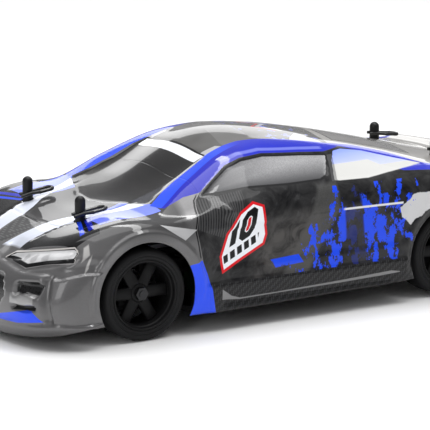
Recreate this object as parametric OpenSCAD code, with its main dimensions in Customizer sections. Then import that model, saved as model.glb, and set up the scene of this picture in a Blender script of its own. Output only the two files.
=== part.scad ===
// Radio controlled touring car: clear-moulded body shell over a shaft-driven chassis.
// +X is forward, +Y is the car's left, +Z is up and the floor is z = 0.

/* [Wheels and stance] */
// distance between front and rear axles
wheelbase = 170; // [150:1:190]
// outside diameter of each tyre
tyre_d = 43; // [40:0.5:44]
// width of each tyre
tyre_w = 19; // [15:0.5:19]
// distance between the outer faces of a pair of tyres
track_out = 118.6; // [112:0.2:120]
// distance of the front axle ahead of the middle of the car
front_axle_x = 80; // [75:1:85]

/* [Body shell] */
// wall thickness of the body shell
shell_wall = 1; // [0.8:0.1:1.5]
// radius of the round wheel openings
arch_r = 25; // [24:0.5:27]
// facets between two control stations along the car
steps_along = 2; // [1:1:4]
// facets between two control lines across the car
steps_across = 2; // [1:1:4]

/* [Body posts] */
// diameter of the four body posts
post_d = 5; // [4:0.5:6]
// height of the front post tips
front_post_z = 63.7; // [60:0.1:66]
// height of the rear post tips
rear_post_z = 71.5; // [68:0.1:74]

/* [Chassis] */
// thickness of the chassis plate
plate_t = 2.5; // [2:0.5:4]
// ground clearance under the chassis plate
clearance_z = 6; // [4:0.5:8]
// half width of the wide part of the chassis
tub_half = 44; // [40:1:46]

/* [Suspension] */
// radial play of pins in their bores
play = 0.05; // [0.02:0.01:0.1]
// distance of the inner hinge pins from the centre plane
inner_y = 16; // [15:0.5:18]
// distance of the outer hinge pins and kingpins from the centre plane
outer_y = 38; // [36:0.5:39]
// height of the lower hinge pins
lower_z = 12; // [11:0.5:13]
// height of the upper hinge pins
upper_z = 31; // [30:0.5:33]

/* [Drive] */
// teeth on the motor pinion
pinion_teeth = 20; // [16:1:24]
// teeth on the spur gear
spur_teeth = 40; // [36:1:44]
// teeth on each small drive pinion
drive_teeth = 10; // [9:1:12]
// teeth on each crown gear
crown_teeth = 26; // [24:1:28]

/* [Hidden] */
$fn = 48;
eps = 0.01;
rear_axle_x = front_axle_x - wheelbase;
axle_z = tyre_d / 2;
tyre_in = track_out / 2 - tyre_w;
tyre_out = track_out / 2;
rim_r = 16.5;
plate_top = clearance_z + plate_t;
spur_module = 0.6;
drive_module = 0.5;
spur_r = spur_teeth * spur_module / 2;
pinion_r = pinion_teeth * spur_module / 2;
drive_r = drive_teeth * drive_module / 2;
crown_r = crown_teeth * drive_module / 2;
motor_y = -(spur_r + pinion_r);
spur_x = -10;
steer_arm = 13;
tie_z = 24;
horn_x = 52;
horn_y = 13;
shock_off = 9.8;
shock_top = [20, 44];
shock_foot = [29, 14];
post_y = 26.5;
front_post_x = 96;
rear_post_x = -103;
clip_wire = 1.6;
front_clip_z = 56;
front_clip_tilt = 8;
rear_clip_z = 66;
rear_clip_tilt = -6;

// Control lines of the shell's left half, each from the bottom of the nose over the bonnet
// and roof to the bottom of the tail.
LINE_CENTRE = [
    [134, 0, 4], [138, 0, 12], [139.5, 0, 23], [136, 0, 33], [127, 0, 40.5],
    [111, 0, 47.5], [94, 0, 52.3], [75, 0, 56], [54, 0, 66.5], [31, 0, 78.5],
    [8, 0, 83.5], [-16, 0, 82.6], [-42, 0, 78.3], [-68, 0, 72.6], [-94, 0, 66.2],
    [-116, 0, 61.3], [-133, 0, 59.8], [-138.5, 0, 50], [-140, 0, 30], [-136, 0, 12]];
LINE_INNER = [
    [133, 23, 4.2], [136.5, 24, 12], [137.5, 24, 23], [134, 24, 33], [125, 24, 41],
    [110, 24, 48.3], [93, 25, 53.2], [72, 26, 57.2], [51, 24, 66], [29, 22, 77],
    [7, 21, 82], [-16, 21, 81], [-42, 21, 76.8], [-68, 21, 71.3], [-94, 23, 65],
    [-116, 26, 60.3], [-132, 27, 58.8], [-137.5, 27, 49], [-139, 27, 30], [-135, 27, 12]];
LINE_ROOF = [
    [128, 42, 6], [132, 43, 12], [133, 43, 23], [129, 42, 34], [120, 42, 43],
    [107, 44, 50.6], [90, 46, 54.9], [68, 48, 56.9], [48, 43, 67], [25, 38.5, 76],
    [5, 37, 78.3], [-16, 37, 77.4], [-42, 37, 73.8], [-68, 38, 69], [-94, 42, 63.2],
    [-116, 46, 58.6], [-130, 46, 57.5], [-135, 47, 47], [-136, 47, 30], [-132, 47, 12]];
LINE_BELT = [
    [121, 53, 8], [124.5, 54.5, 13], [125, 54.5, 23], [121, 53, 35], [113, 52.5, 44.5],
    [102, 53, 52], [85, 54, 55.3], [62, 55, 55], [42, 54.5, 60.5], [22, 53, 64],
    [3, 52.5, 65.5], [-16, 52.5, 65.3], [-42, 53, 64.3], [-68, 54, 63], [-94, 55, 61],
    [-114, 55, 58], [-126, 54, 55.5], [-130, 54.5, 46], [-130, 55, 30], [-127, 54, 12]];
LINE_SHOULDER = [
    [116, 57.5, 9.5], [119, 58.5, 14], [119, 58.5, 24], [115, 58, 35], [106, 58.5, 43.5],
    [97, 59, 49], [82, 59.5, 52.3], [60, 59.3, 53], [40, 59, 55.5], [21, 58.8, 57.8],
    [3, 58.6, 58.8], [-16, 58.6, 58.8], [-42, 59, 58.5], [-68, 60, 57.8], [-92, 60.8, 56.5],
    [-110, 60, 54.5], [-121, 58, 51], [-125, 57.5, 43], [-125, 57.5, 30], [-122, 57, 12]];
LINE_SIDE = [
    [112, 60, 10.3], [113, 60.8, 14.5], [112, 61, 24], [108, 61.3, 34], [101, 61.6, 40],
    [92, 61.8, 43], [78, 61.8, 44.5], [57, 61.3, 44.5], [39, 60.8, 45], [20, 60.5, 46],
    [2, 60.4, 46.3], [-16, 60.5, 46.5], [-42, 61, 46.8], [-68, 62, 47], [-90, 62.4, 46.8],
    [-104, 62, 46], [-114, 61, 43], [-118, 60.5, 37], [-118, 60, 26], [-117, 59, 12]];
LINE_ROCKER = [
    [109, 61, 10.6], [108, 61.3, 14.5], [106, 61.6, 22], [102, 61.8, 28], [96, 62, 31],
    [88, 62, 32], [76, 62, 32], [56, 61.5, 30], [38, 61, 29], [20, 60.7, 28.6],
    [2, 60.6, 28.5], [-16, 60.7, 28.8], [-42, 61.2, 29.5], [-68, 62.2, 31], [-88, 62.4, 33],
    [-98, 62.2, 32], [-106, 61.6, 29], [-110, 61, 25], [-111, 60.5, 20], [-112, 60, 12]];
LINE_SILL = [
    [106, 60.5, 10.8], [104, 60.7, 10.4], [101, 60.8, 10], [97, 61, 9.8], [91, 61, 9.7],
    [84, 61, 9.6], [72, 61, 9.6], [54, 60.8, 9.6], [37, 60.5, 9.6], [19, 60.3, 9.8],
    [1, 60.3, 10], [-17, 60.4, 10.4], [-42, 60.7, 11], [-66, 61.3, 11.6], [-82, 61.5, 12],
    [-90, 61.5, 12.1], [-97, 61.3, 12.1], [-102, 61, 12.1], [-106, 60.8, 12], [-109, 60.5, 12]];
LINES = [LINE_CENTRE, LINE_INNER, LINE_ROOF, LINE_BELT, LINE_SHOULDER, LINE_SIDE, LINE_ROCKER,
    LINE_SILL];

// ---------------------------------------------------------------- shell surface

function flip_y(p) = [p[0], -p[1], p[2]];

// a smooth curve through b and c, with a and d as its neighbours
function between(a, b, c, d, t) =
    0.5 * (2 * b + (c - a) * t + (2 * a - 5 * b + 4 * c - d) * t * t
        + (3 * b - a - 3 * c + d) * t * t * t);

// point t of the way from entry i to the next entry of a list of points
function along(list, i, t) =
    let (last = len(list) - 1)
    let (a = i > 0 ? list[i - 1] : 2 * list[0] - list[1])
    let (d = i + 2 <= last ? list[i + 2] : 2 * list[last] - list[last - 1])
    between(a, list[i], list[i + 1], d, t);

function refine(list, steps) = [
    for (i = [0:len(list) - 2])
        for (k = [0:steps - 1])
            along(list, i, k / steps),
    list[len(list) - 1]];

FINE_LINES = [for (line = LINES) refine(line, steps_along)];
HALF_LAST = len(LINES) - 1;
STATIONS = len(FINE_LINES[0]);

// one cross-section, from the right sill over the roof to the left sill
function section_line(i) = [
    for (k = [-HALF_LAST:HALF_LAST])
        k < 0 ? flip_y(FINE_LINES[-k][i]) : FINE_LINES[k][i]];
SKIN = [for (i = [0:STATIONS - 1]) refine(section_line(i), steps_across)];
ACROSS = len(SKIN[0]);

function unit(v) = v / norm(v);
function skin_normal(i, j) =
    let (i0 = max(i - 1, 0))
    let (i1 = min(i + 1, STATIONS - 1))
    let (j0 = max(j - 1, 0))
    let (j1 = min(j + 1, ACROSS - 1))
    unit(cross(SKIN[i][j1] - SKIN[i][j0], SKIN[i1][j] - SKIN[i0][j]));

OUTER_PTS = [for (i = [0:STATIONS - 1]) for (j = [0:ACROSS - 1]) SKIN[i][j]];
INNER_PTS = [for (i = [0:STATIONS - 1]) for (j = [0:ACROSS - 1])
    SKIN[i][j] + shell_wall * skin_normal(i, j)];
SKIN_COUNT = STATIONS * ACROSS;

function at(i, j) = i * ACROSS + j;
function both(a, b, c, d) = [[a, b, c], [a, c, d]];
SHELL_FACES = [
    for (i = [0:STATIONS - 2]) for (j = [0:ACROSS - 2])
        each both(at(i, j), at(i, j + 1), at(i + 1, j + 1), at(i + 1, j)),
    for (i = [0:STATIONS - 2]) for (j = [0:ACROSS - 2])
        each both(SKIN_COUNT + at(i + 1, j), SKIN_COUNT + at(i + 1, j + 1),
            SKIN_COUNT + at(i, j + 1), SKIN_COUNT + at(i, j)),
    for (j = [0:ACROSS - 2])
        each both(SKIN_COUNT + at(0, j), SKIN_COUNT + at(0, j + 1), at(0, j + 1), at(0, j)),
    for (j = [0:ACROSS - 2])
        each both(at(STATIONS - 1, j), at(STATIONS - 1, j + 1),
            SKIN_COUNT + at(STATIONS - 1, j + 1), SKIN_COUNT + at(STATIONS - 1, j)),
    for (i = [0:STATIONS - 2])
        each both(at(i, 0), at(i + 1, 0), SKIN_COUNT + at(i + 1, 0), SKIN_COUNT + at(i, 0)),
    for (i = [0:STATIONS - 2])
        each both(SKIN_COUNT + at(i, ACROSS - 1), SKIN_COUNT + at(i + 1, ACROSS - 1),
            at(i + 1, ACROSS - 1), at(i, ACROSS - 1))];

module body_shell() {
    color([0.12, 0.22, 0.75])
    difference() {
        polyhedron(concat(OUTER_PTS, INNER_PTS), SHELL_FACES, convexity = 8);
        for (x = [front_axle_x, rear_axle_x], s = [-1, 1])
            translate([x, s * 60, axle_z])
                rotate([90, 0, 0])
                    cylinder(r = arch_r, h = 20, center = true, $fn = 96);
        for (s = [-1, 1]) {
            translate([front_post_x, s * post_y, 44])
                cylinder(d = post_d + 1.2, h = 20);
            translate([rear_post_x, s * post_y, 50])
                cylinder(d = post_d + 1.2, h = 24);
        }
    }
}

// ---------------------------------------------------------------- small helpers

// keep the left part as drawn, or mirror it to the right
module side(s) {
    mirror([0, s < 0 ? 1 : 0, 0])
        children();
}

// cylinder along X with one end at x0
module rod_x(r, x0, x1, y, z) {
    translate([x0, y, z])
        rotate([0, 90, 0])
            cylinder(r = r, h = x1 - x0);
}

// cylinder along Y from y0 to y1
module rod_y(r, y0, y1, x, z) {
    translate([x, y1, z])
        rotate([90, 0, 0])
            cylinder(r = r, h = y1 - y0);
}

module box(x0, x1, y0, y1, z0, z1) {
    translate([x0, y0, z0])
        cube([x1 - x0, y1 - y0, z1 - z0]);
}

// gear outline with teeth a little thinner than their gaps, first tooth at angle phase
module gear_outline(teeth, module_size, thin, tip, root, phase = 0) {
    pitch_r = teeth * module_size / 2;
    tooth = PI * module_size * thin;
    pts = [for (k = [0:teeth - 1])
        each [
            gear_point(pitch_r - root, tooth + root * 0.7, phase + k * 360 / teeth, -1),
            gear_point(pitch_r, tooth, phase + k * 360 / teeth, -1),
            gear_point(pitch_r + tip, tooth - tip * 0.8, phase + k * 360 / teeth, -1),
            gear_point(pitch_r + tip, tooth - tip * 0.8, phase + k * 360 / teeth, 1),
            gear_point(pitch_r, tooth, phase + k * 360 / teeth, 1),
            gear_point(pitch_r - root, tooth + root * 0.7, phase + k * 360 / teeth, 1)]];
    polygon(pts);
}
function gear_point(r, width, angle, way) =
    let (turn = angle + way * width / 2 / r * 180 / PI)
    [r * cos(turn), r * sin(turn)];

// ---------------------------------------------------------------- clips and posts

// length of wire from a to b, run on a little at each end to meet the next length
module wire(a, b) {
    way = b - a;
    run_on = 0.2;
    translate(a - run_on * way / norm(way))
        rotate([0, acos(way[2] / norm(way)), atan2(way[1], way[0])])
            cylinder(d = clip_wire, h = norm(way) + 2 * run_on, $fn = 24);
}

// R-shaped body clip: straight leg through the post, loop behind, waved leg beside the post.
// tilt lifts the loop so that the clip lies along the bonnet or the rear deck.
module clip(x, y, z, tilt) {
    loop_r = 2.7;
    knuckle_d = clip_wire + 0.16;
    bend = [-4, 2 * loop_r, 0];
    waist = [0, post_d / 2 + clip_wire / 2 + 0.3, 0];
    tip = [5, 2 * loop_r - 0.6, 0];
    color([0.05, 0.05, 0.05])
        translate([x, y, z])
            rotate([0, tilt, 0]) {
                wire([-9, 0, 0], [4, 0, 0]);
                translate([-9, loop_r, 0])
                    rotate([0, 0, 90])
                        rotate_extrude(angle = 180)
                            translate([loop_r, 0])
                                circle(d = knuckle_d, $fn = 24);
                wire([-9, 2 * loop_r, 0], bend);
                wire(bend, waist);
                wire(waist, tip);
                for (p = [bend, waist, tip])
                    translate(p)
                        sphere(d = knuckle_d, $fn = 24);
            }
}
module clip_front_left() clip(front_post_x, post_y, front_clip_z, front_clip_tilt);
module clip_front_right() clip(front_post_x, -post_y, front_clip_z, front_clip_tilt);
module clip_rear_left() clip(rear_post_x, post_y, rear_clip_z, rear_clip_tilt);
module clip_rear_right() clip(rear_post_x, -post_y, rear_clip_z, rear_clip_tilt);

module post(x, y, top_z, clip_z, tilt) {
    difference() {
        union() {
            translate([x, y, 44])
                cylinder(d = post_d, h = top_z - 44 - post_d / 2);
            translate([x, y, top_z - post_d / 2])
                sphere(d = post_d);
        }
        translate([x, y, clip_z])
            rotate([0, tilt, 0])
                rod_x(clip_wire / 2 + play, -5, 5, 0, 0);
    }
}
module body_posts() {
    color([0.06, 0.06, 0.06])
    for (s = [-1, 1]) {
        post(front_post_x, s * post_y, front_post_z, front_clip_z, front_clip_tilt);
        post(rear_post_x, s * post_y, rear_post_z, rear_clip_z, rear_clip_tilt);
    }
}

// ---------------------------------------------------------------- chassis

module chassis_outline() {
    polygon([
        [104, -12], [104, 12], [95, 19], [64, 19], [52, 31], [46, tub_half], [-50, tub_half],
        [-60, 31], [-74, 19], [-106, 19], [-112, 12], [-112, -12], [-106, -19], [-74, -19],
        [-60, -31], [-50, -tub_half], [46, -tub_half], [52, -31], [64, -19], [95, -19]]);
}
module chassis_tub() {
    color([0.08, 0.08, 0.09]) {
        translate([0, 0, clearance_z])
            linear_extrude(plate_t)
                chassis_outline();
        for (s = [-1, 1])
            side(s)
                box(-50, 46, tub_half - 2, tub_half, plate_top - eps, 15);
        // rib that keeps the battery clear of the drive shaft
        box(-44, -20, 12.2, 13.4, plate_top - eps, 12);
        // plate that carries the motor and the middle of the drive shaft
        difference() {
            box(-16.5, -13.5, motor_y - 14, 6, plate_top - eps, 35);
            rod_x(1.5 + play, -18, -12, 0, axle_z);
            rod_x(4, -18, -12, motor_y, axle_z);
        }
    }
}
module front_bumper() {
    color([0.1, 0.1, 0.1])
        difference() {
            translate([98, 0, plate_top])
                linear_extrude(13)
                    polygon([[0, -12], [0, 12], [11, 12], [11, 38], [15, 38], [25, 26], [28, 10],
                        [28, -10], [25, -26], [15, -38], [11, -38], [11, -12]]);
            box(97, 108, -8, 8, 13, 18);
        }
}

// gear case with its crown wheel chamber, pinion tunnel and suspension pin ears.
// way is 1 with the shaft entering from behind and -1 with it entering from the front.
module gearbox(axle_x, way) {
    difference() {
        union() {
            box(axle_x - 9, axle_x + 9, -11, 11, plate_top, 31);
            for (s = [-1, 1])
                side(s) {
                    // ears that hold the lower hinge pin, each on a foot joined to the case
                    for (e = [-1, 1])
                        translate([axle_x + e * 11.4, 0, 0]) {
                            box(-1.4, 1.4, 12.4, 19, plate_top, 14.8);
                            box(-2.5, 2.5, 6, 12.5, plate_top, 14.8);
                        }
                }
        }
        rod_y(8.3, -6.4, 6.4, axle_x, axle_z);
        rod_y(3 + play, -12, 12, axle_x, axle_z);
        rod_x(3.3, axle_x - (way > 0 ? 9.5 : 0), axle_x + (way > 0 ? 0 : 9.5), 0, axle_z);
        for (s = [-1, 1])
            rod_x(1.25, axle_x - 13, axle_x + 13, s * inner_y, lower_z);
    }
}
module upper_ears() {
    for (s = [-1, 1], e = [-1, 1])
        side(s)
            difference() {
                translate([front_axle_x + e * 6.9, 0, 0])
                    box(-1.1, 1.1, 11 - eps, 18.5, 28.4, 33.5);
                rod_x(1.25, front_axle_x - 9, front_axle_x + 9, inner_y, upper_z);
            }
}
module front_gearbox() {
    color([0.07, 0.07, 0.08]) {
        gearbox(front_axle_x, 1);
        upper_ears();
    }
}
module rear_gearbox() {
    color([0.07, 0.07, 0.08])
        gearbox(rear_axle_x, -1);
}

// shock tower across the car with shock pins and shelves for the body posts
module tower(axle_x, way) {
    plate_0 = 14;
    plate_1 = 16.5;
    color([0.08, 0.08, 0.08])
        translate([axle_x, 0, 0])
            mirror([way < 0 ? 1 : 0, 0, 0]) {
                translate([plate_0, 0, 0])
                    rotate([90, 0, 90])
                        linear_extrude(plate_1 - plate_0)
                            polygon([[-18, plate_top], [18, plate_top], [13, 26], [29.6, 37],
                                [29.6, 44], [23.4, 44], [22, 46.6], [10, 46.6], [6, 40],
                                [-6, 40], [-10, 46.6], [-22, 46.6], [-23.4, 44], [-29.6, 44],
                                [-29.6, 37], [-13, 26]]);
                for (s = [-1, 1])
                    side(s) {
                        rod_x(1.25, 7.6, plate_0 + eps, shock_top[0], shock_top[1]);
                        shelf(way);
                    }
            }
}
module shelf(way) {
    if (way > 0)
        box(16.5 - eps, 19.4, 23.6, 29.6, 41, 44);
    else
        box(10.6, 14 + eps, 25, 29.6, 41, 44);
}
module front_tower() tower(front_axle_x, 1);
module rear_tower() tower(rear_axle_x, -1);

module hinge_pins() {
    color([0.7, 0.7, 0.72])
        for (s = [-1, 1]) {
            for (x = [front_axle_x, rear_axle_x])
                rod_x(1.22, x - 12.9, x + 12.9, s * inner_y, lower_z);
            rod_x(1.22, front_axle_x - 8.3, front_axle_x + 8.3, s * inner_y, upper_z);
        }
}

// ---------------------------------------------------------------- electrics

module motor_can() {
    color([0.72, 0.73, 0.75]) {
        rod_x(12, -50, -16.5 - eps, motor_y, axle_z);
        rod_x(3.9, -16.6, -13.2, motor_y, axle_z);
        rod_x(1, -13.3, -5.5, motor_y, axle_z);
        rod_x(4, -53, -50 + eps, motor_y, axle_z);
    }
}
module servo() {
    color([0.05, 0.05, 0.06]) {
        box(38, 61, 7, 19, plate_top, 26);
        box(34.5, 64.5, 7, 19, 19, 21);
        translate([horn_x, horn_y, 26 - eps])
            cylinder(d = 8, h = 1.5);
        translate([horn_x, horn_y, 27])
            cylinder(r = 2.2, h = 3);
    }
}
module battery() {
    color([0.1, 0.25, 0.12])
        for (y = [20.5, 34.2], x = [-42, -4])
            rod_x(6.6, x + 0.2, x + 37.8, y - 0.3, 15.3);
    color([0.1, 0.25, 0.12])
        box(-42, 34, 14, 40, 9, 10);
}
module battery_strap() {
    color([0.06, 0.06, 0.06])
        difference() {
            box(8, 18, 12.7, 41.7, plate_top, 24);
            box(7, 19, 13.5, 40.9, plate_top - 1, 22.2);
        }
}
// receiver and speed control in one case, with cooling fins and the switch housing
module speed_control() {
    color([0.06, 0.06, 0.08])
        difference() {
            union() {
                box(0, 32, -40, -18, plate_top, 22);
                for (k = [0:6])
                    box(4 + k * 3.6, 5.6 + k * 3.6, -38, -20, 22 - eps, 27);
                box(32 - eps, 44, -40, -34, plate_top, 13);
            }
            box(35.5, 43, -38.5, -35.5, 10.5, 14);
        }
}
module power_switch() {
    color([0.6, 0.1, 0.1])
        box(36, 39.5, -38.2, -35.8, 10.9, 15.6);
}

// ---------------------------------------------------------------- suspension
// Every left part is drawn at its own axle, and the right one is its mirror image.

module at_axle(axle_x, s) {
    translate([axle_x, 0, 0])
        side(s)
            children();
}

// lower arm with its shock pin ahead of the axle
module arm_body() {
    difference() {
        union() {
            rod_x(2.4, -9.7, 9.7, inner_y, lower_z);
            for (e = [-1, 1])
                translate([e * 5.8, 0, 0])
                    box(-1.2, 1.2, inner_y, outer_y - 4, lower_z - 1.8, lower_z + 1.8);
            box(-5, 5, 21, 24, lower_z - 1.8, lower_z + 1.8);
            box(4.6, 7, 27, 31, lower_z, shock_foot[1] + 1.6);
        }
        rod_x(1.22 + play, -11, 11, inner_y, lower_z);
    }
    rod_x(1.25, 6.9, 11.6, shock_foot[0], shock_foot[1]);
}
module front_arm() {
    color([0.07, 0.07, 0.07]) {
        arm_body();
        for (e = [-1, 1])
            translate([e * 5.8, 0, 0])
                difference() {
                    union() {
                        rod_x(2.2, -1.2, 1.2, outer_y, lower_z);
                        box(-1.2, 1.2, outer_y - 4 - eps, outer_y, lower_z - 1.8, lower_z + 1.8);
                    }
                }
        rod_x(1, -6.9, 6.9, outer_y, lower_z);
    }
}

// rear arm: arm and wheel carrier in one piece, with the shock pin behind the axle
module rear_arm() {
    color([0.07, 0.07, 0.07])
        difference() {
            union() {
                mirror([1, 0, 0])
                    arm_body();
                box(-7, 7, outer_y - 4.2, outer_y + 1, lower_z - 1.8, axle_z + 1);
                rod_y(6, outer_y - 4.6, outer_y + 1.4, 0, axle_z);
            }
            rod_y(2.5 + play, outer_y - 5, outer_y + 3, 0, axle_z);
        }
}
module lower_arm_fl() at_axle(front_axle_x, 1) front_arm();
module lower_arm_fr() at_axle(front_axle_x, -1) front_arm();
module lower_arm_rl() at_axle(rear_axle_x, 1) rear_arm();
module lower_arm_rr() at_axle(rear_axle_x, -1) rear_arm();

module upper_arm() {
    color([0.07, 0.07, 0.07]) {
        difference() {
            union() {
                rod_x(2.2, -5.5, 5.5, inner_y, upper_z);
                for (e = [-1, 1])
                    translate([e * 4.3, 0, 0])
                        box(-1.2, 1.2, inner_y, outer_y, upper_z - 1.5, upper_z + 1.5);
                box(-4, 4, 22, 25, upper_z - 1.5, upper_z + 1.5);
                for (e = [-1, 1])
                    rod_x(2, e * 4.3 - 1.2, e * 4.3 + 1.2, outer_y, upper_z);
            }
            rod_x(1.22 + play, -7, 7, inner_y, upper_z);
        }
        rod_x(1, -5.4, 5.4, outer_y, upper_z);
    }
}
module upper_arm_left() at_axle(front_axle_x, 1) upper_arm();
module upper_arm_right() at_axle(front_axle_x, -1) upper_arm();

// C-shaped carrier that holds the steering knuckle between two lugs
module c_hub() {
    color([0.09, 0.09, 0.09])
        difference() {
            union() {
                rod_x(2.2, -4.3, 4.3, outer_y, lower_z);
                box(-4.3, 4.3, 29, outer_y + 3, lower_z + 1.4, lower_z + 4);
                box(-4.3, 4.3, 29, 31.3, lower_z + 1.4, upper_z - 4);
                box(-2.8, 2.8, 29, outer_y + 3, upper_z - 4.05, upper_z - 1.6);
                rod_x(2.2, -2.8, 2.8, outer_y, upper_z);
            }
            rod_x(1 + play, -6, 6, outer_y, lower_z);
            rod_x(1 + play, -6, 6, outer_y, upper_z);
            rod_y(3.2, 28, 33, 0, axle_z);
            translate([0, outer_y, lower_z + 2.5])
                cylinder(r = 1.25 + play, h = 3);
            translate([0, outer_y, upper_z - 5])
                cylinder(r = 1.25 + play, h = 2.9);
        }
}
module c_hub_left() at_axle(front_axle_x, 1) c_hub();
module c_hub_right() at_axle(front_axle_x, -1) c_hub();

// steering knuckle: axle bearing, kingpins above and below, arm with a ball for the tie rod
module knuckle() {
    color([0.11, 0.11, 0.12])
        difference() {
            union() {
                rod_y(5.2, outer_y - 3.5, outer_y + 4.5, 0, axle_z);
                translate([0, outer_y, lower_z + 2.7])
                    cylinder(r = 1.25, h = 14);
                box(-steer_arm - 1.6, -4, outer_y - 1.5, outer_y + 1.5, 18.5, 20.5);
                translate([-steer_arm, outer_y, 20])
                    cylinder(r = 0.9, h = tie_z - 20);
                translate([-steer_arm, outer_y, tie_z])
                    sphere(r = 1.75);
            }
            rod_y(4 + play, outer_y - 6, outer_y + 6, 0, axle_z);
        }
}
module knuckle_left() at_axle(front_axle_x, 1) knuckle();
module knuckle_right() at_axle(front_axle_x, -1) knuckle();

// ---------------------------------------------------------------- steering

module servo_horn() {
    color([0.85, 0.85, 0.87]) {
        difference() {
            union() {
                translate([horn_x, horn_y, 28])
                    cylinder(r = 4, h = 2.4);
                box(horn_x - steer_arm, horn_x, horn_y - 2, horn_y + 2, 28, 30.4);
                translate([horn_x - steer_arm, horn_y, 28])
                    cylinder(r = 2, h = 2.4);
            }
            translate([horn_x, horn_y, 27])
                cylinder(r = 2.2 + play, h = 5);
        }
        translate([horn_x - steer_arm, horn_y, 30.3])
            cylinder(r = 1.2, h = 3.4);
    }
}
module drag_link() {
    ball_x = front_axle_x - steer_arm;
    color([0.1, 0.1, 0.1]) {
        difference() {
            union() {
                translate([horn_x - steer_arm, horn_y, 31])
                    cylinder(r = 3, h = 2);
                box(horn_x - steer_arm, ball_x, horn_y - 1.5, horn_y + 1.5, 31, 33);
                box(ball_x - 2, ball_x + 1.4, -inner_y - 1.5, inner_y + 1.5, 31, 33);
            }
            translate([horn_x - steer_arm, horn_y, 30])
                cylinder(r = 1.2 + play, h = 4);
        }
        for (s = [-1, 1])
            side(s) {
                translate([ball_x, inner_y, tie_z - 1])
                    cylinder(r = 1.1, h = 32 - tie_z);
                rod_x(0.9, ball_x - 3, ball_x + 3, inner_y, tie_z);
            }
    }
}
module tie_rod() {
    color([0.1, 0.1, 0.1])
        translate([-steer_arm, 0, 0])
            difference() {
                union() {
                    rod_y(1.1, inner_y + 3.5, outer_y, 0, tie_z);
                    translate([0, outer_y, tie_z - 1.2])
                        cylinder(r = 2.6, h = 2.4);
                    // fork around the pin at the inner end
                    for (e = [-1, 1]) {
                        rod_x(1.9, 2.2 * e - 0.75, 2.2 * e + 0.75, inner_y, tie_z);
                        translate([2.2 * e, 0, 0])
                            box(-0.75, 0.75, inner_y, inner_y + 4, tie_z - 1, tie_z + 1);
                    }
                    box(-2.95, 2.95, inner_y + 2.6, inner_y + 4, tie_z - 1, tie_z + 1);
                }
                rod_x(0.9 + play, -4, 4, inner_y, tie_z);
                translate([0, outer_y, tie_z]) {
                    sphere(r = 1.75 + play);
                    cylinder(r = 1.3, h = 4, center = true);
                }
            }
}
module tie_rod_left() at_axle(front_axle_x, 1) tie_rod();
module tie_rod_right() at_axle(front_axle_x, -1) tie_rod();

// ---------------------------------------------------------------- drive line

module motor_pinion() {
    color([0.75, 0.65, 0.35])
        translate([spur_x - 2.2, motor_y, axle_z])
            rotate([90, 0, 90])
                linear_extrude(4.4)
                    difference() {
                        gear_outline(pinion_teeth, spur_module, 0.4, 0.5, 0.75,
                            180 / pinion_teeth);
                        circle(r = 1.05);
                    }
}
module centre_shaft() {
    color([0.75, 0.75, 0.78]) {
        rod_x(1.5, rear_axle_x + 4.6, front_axle_x - 4.6, 0, axle_z);
        for (x = [front_axle_x - crown_r - 0.8, rear_axle_x + crown_r - 0.8])
            translate([x, 0, axle_z])
                rotate([90, 0, 90])
                    linear_extrude(1.6)
                        gear_outline(drive_teeth, drive_module, 0.36, 0.3, 0.5);
    }
    color([0.9, 0.88, 0.82])
        translate([spur_x - 1.8, 0, axle_z])
            rotate([90, 0, 90])
                linear_extrude(3.6)
                    gear_outline(spur_teeth, spur_module, 0.4, 0.5, 0.75);
}

// locked axle with crown gear and a drive cup at each end. way is 1 when the crown gear is
// on the left of the small pinion and -1 when it is on the right.
module spool(axle_x, way) {
    color([0.7, 0.7, 0.72])
        translate([axle_x, 0, axle_z])
            mirror([0, way < 0 ? 1 : 0, 0]) {
                difference() {
                    union() {
                        rod_y(3, -12.2, 12.2, 0, 0);
                        rod_y(crown_r + 1.2, drive_r + 0.65, drive_r + 3, 0, 0);
                        for (k = [0:crown_teeth - 1])
                            rotate([0, (k + 0.5) * 360 / crown_teeth, 0])
                                box(crown_r - 1, crown_r + 1, drive_r - 0.2, drive_r + 0.7,
                                    -0.24, 0.24);
                        for (s = [-1, 1])
                            side(s)
                                rod_y(4, 11.4, 19.5, 0, 0);
                    }
                    for (s = [-1, 1])
                        side(s) {
                            rod_y(2.6, 12.6, 20, 0, 0);
                            box(-1, 1, 13.6, 20, -5, 5);
                        }
                }
            }
}
module front_diff() spool(front_axle_x, 1);
module rear_diff() spool(rear_axle_x, -1);

// ball end of a drive shaft with its cross pin
module drive_ball(y, pin_half) {
    translate([0, y, axle_z]) {
        sphere(r = 1.9);
        cylinder(r = 0.6, h = 2 * pin_half, center = true);
    }
}
module dogbone() {
    color([0.72, 0.72, 0.75]) {
        rod_y(1.2, inner_y, outer_y, 0, axle_z);
        drive_ball(inner_y, 3.2);
        drive_ball(outer_y, 3);
    }
}
module dogbone_left() at_axle(front_axle_x, 1) dogbone();
module dogbone_right() at_axle(front_axle_x, -1) dogbone();

// outer end that is the same on all four axles: wheel hex, stub and wheel nut
module axle_end() {
    translate([0, 46, axle_z])
        rotate([90, 0, 0])
            cylinder(r = 4.6, h = 2.8, $fn = 6);
    rod_y(1.5, 43, 56.2, 0, axle_z);
    translate([0, 55.8, axle_z])
        rotate([90, 0, 0])
            cylinder(r = 3.2, h = 2.2, $fn = 6);
}
module front_axle() {
    color([0.7, 0.7, 0.72])
        difference() {
            union() {
                rod_y(4, 36, 43.3, 0, axle_z);
                axle_end();
            }
            rod_y(2.7, 35, 41.6, 0, axle_z);
            translate([0, 0, axle_z])
                box(-1.15, 1.15, 35, 40.9, -3.7, 3.7);
        }
}
module rear_half_shaft() {
    color([0.7, 0.7, 0.72]) {
        rod_y(1.2, inner_y, 34.2, 0, axle_z);
        drive_ball(inner_y, 3.2);
        rod_y(2.5, 33.6, 43.3, 0, axle_z);
        axle_end();
    }
}
module axle_fl() at_axle(front_axle_x, 1) front_axle();
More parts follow.
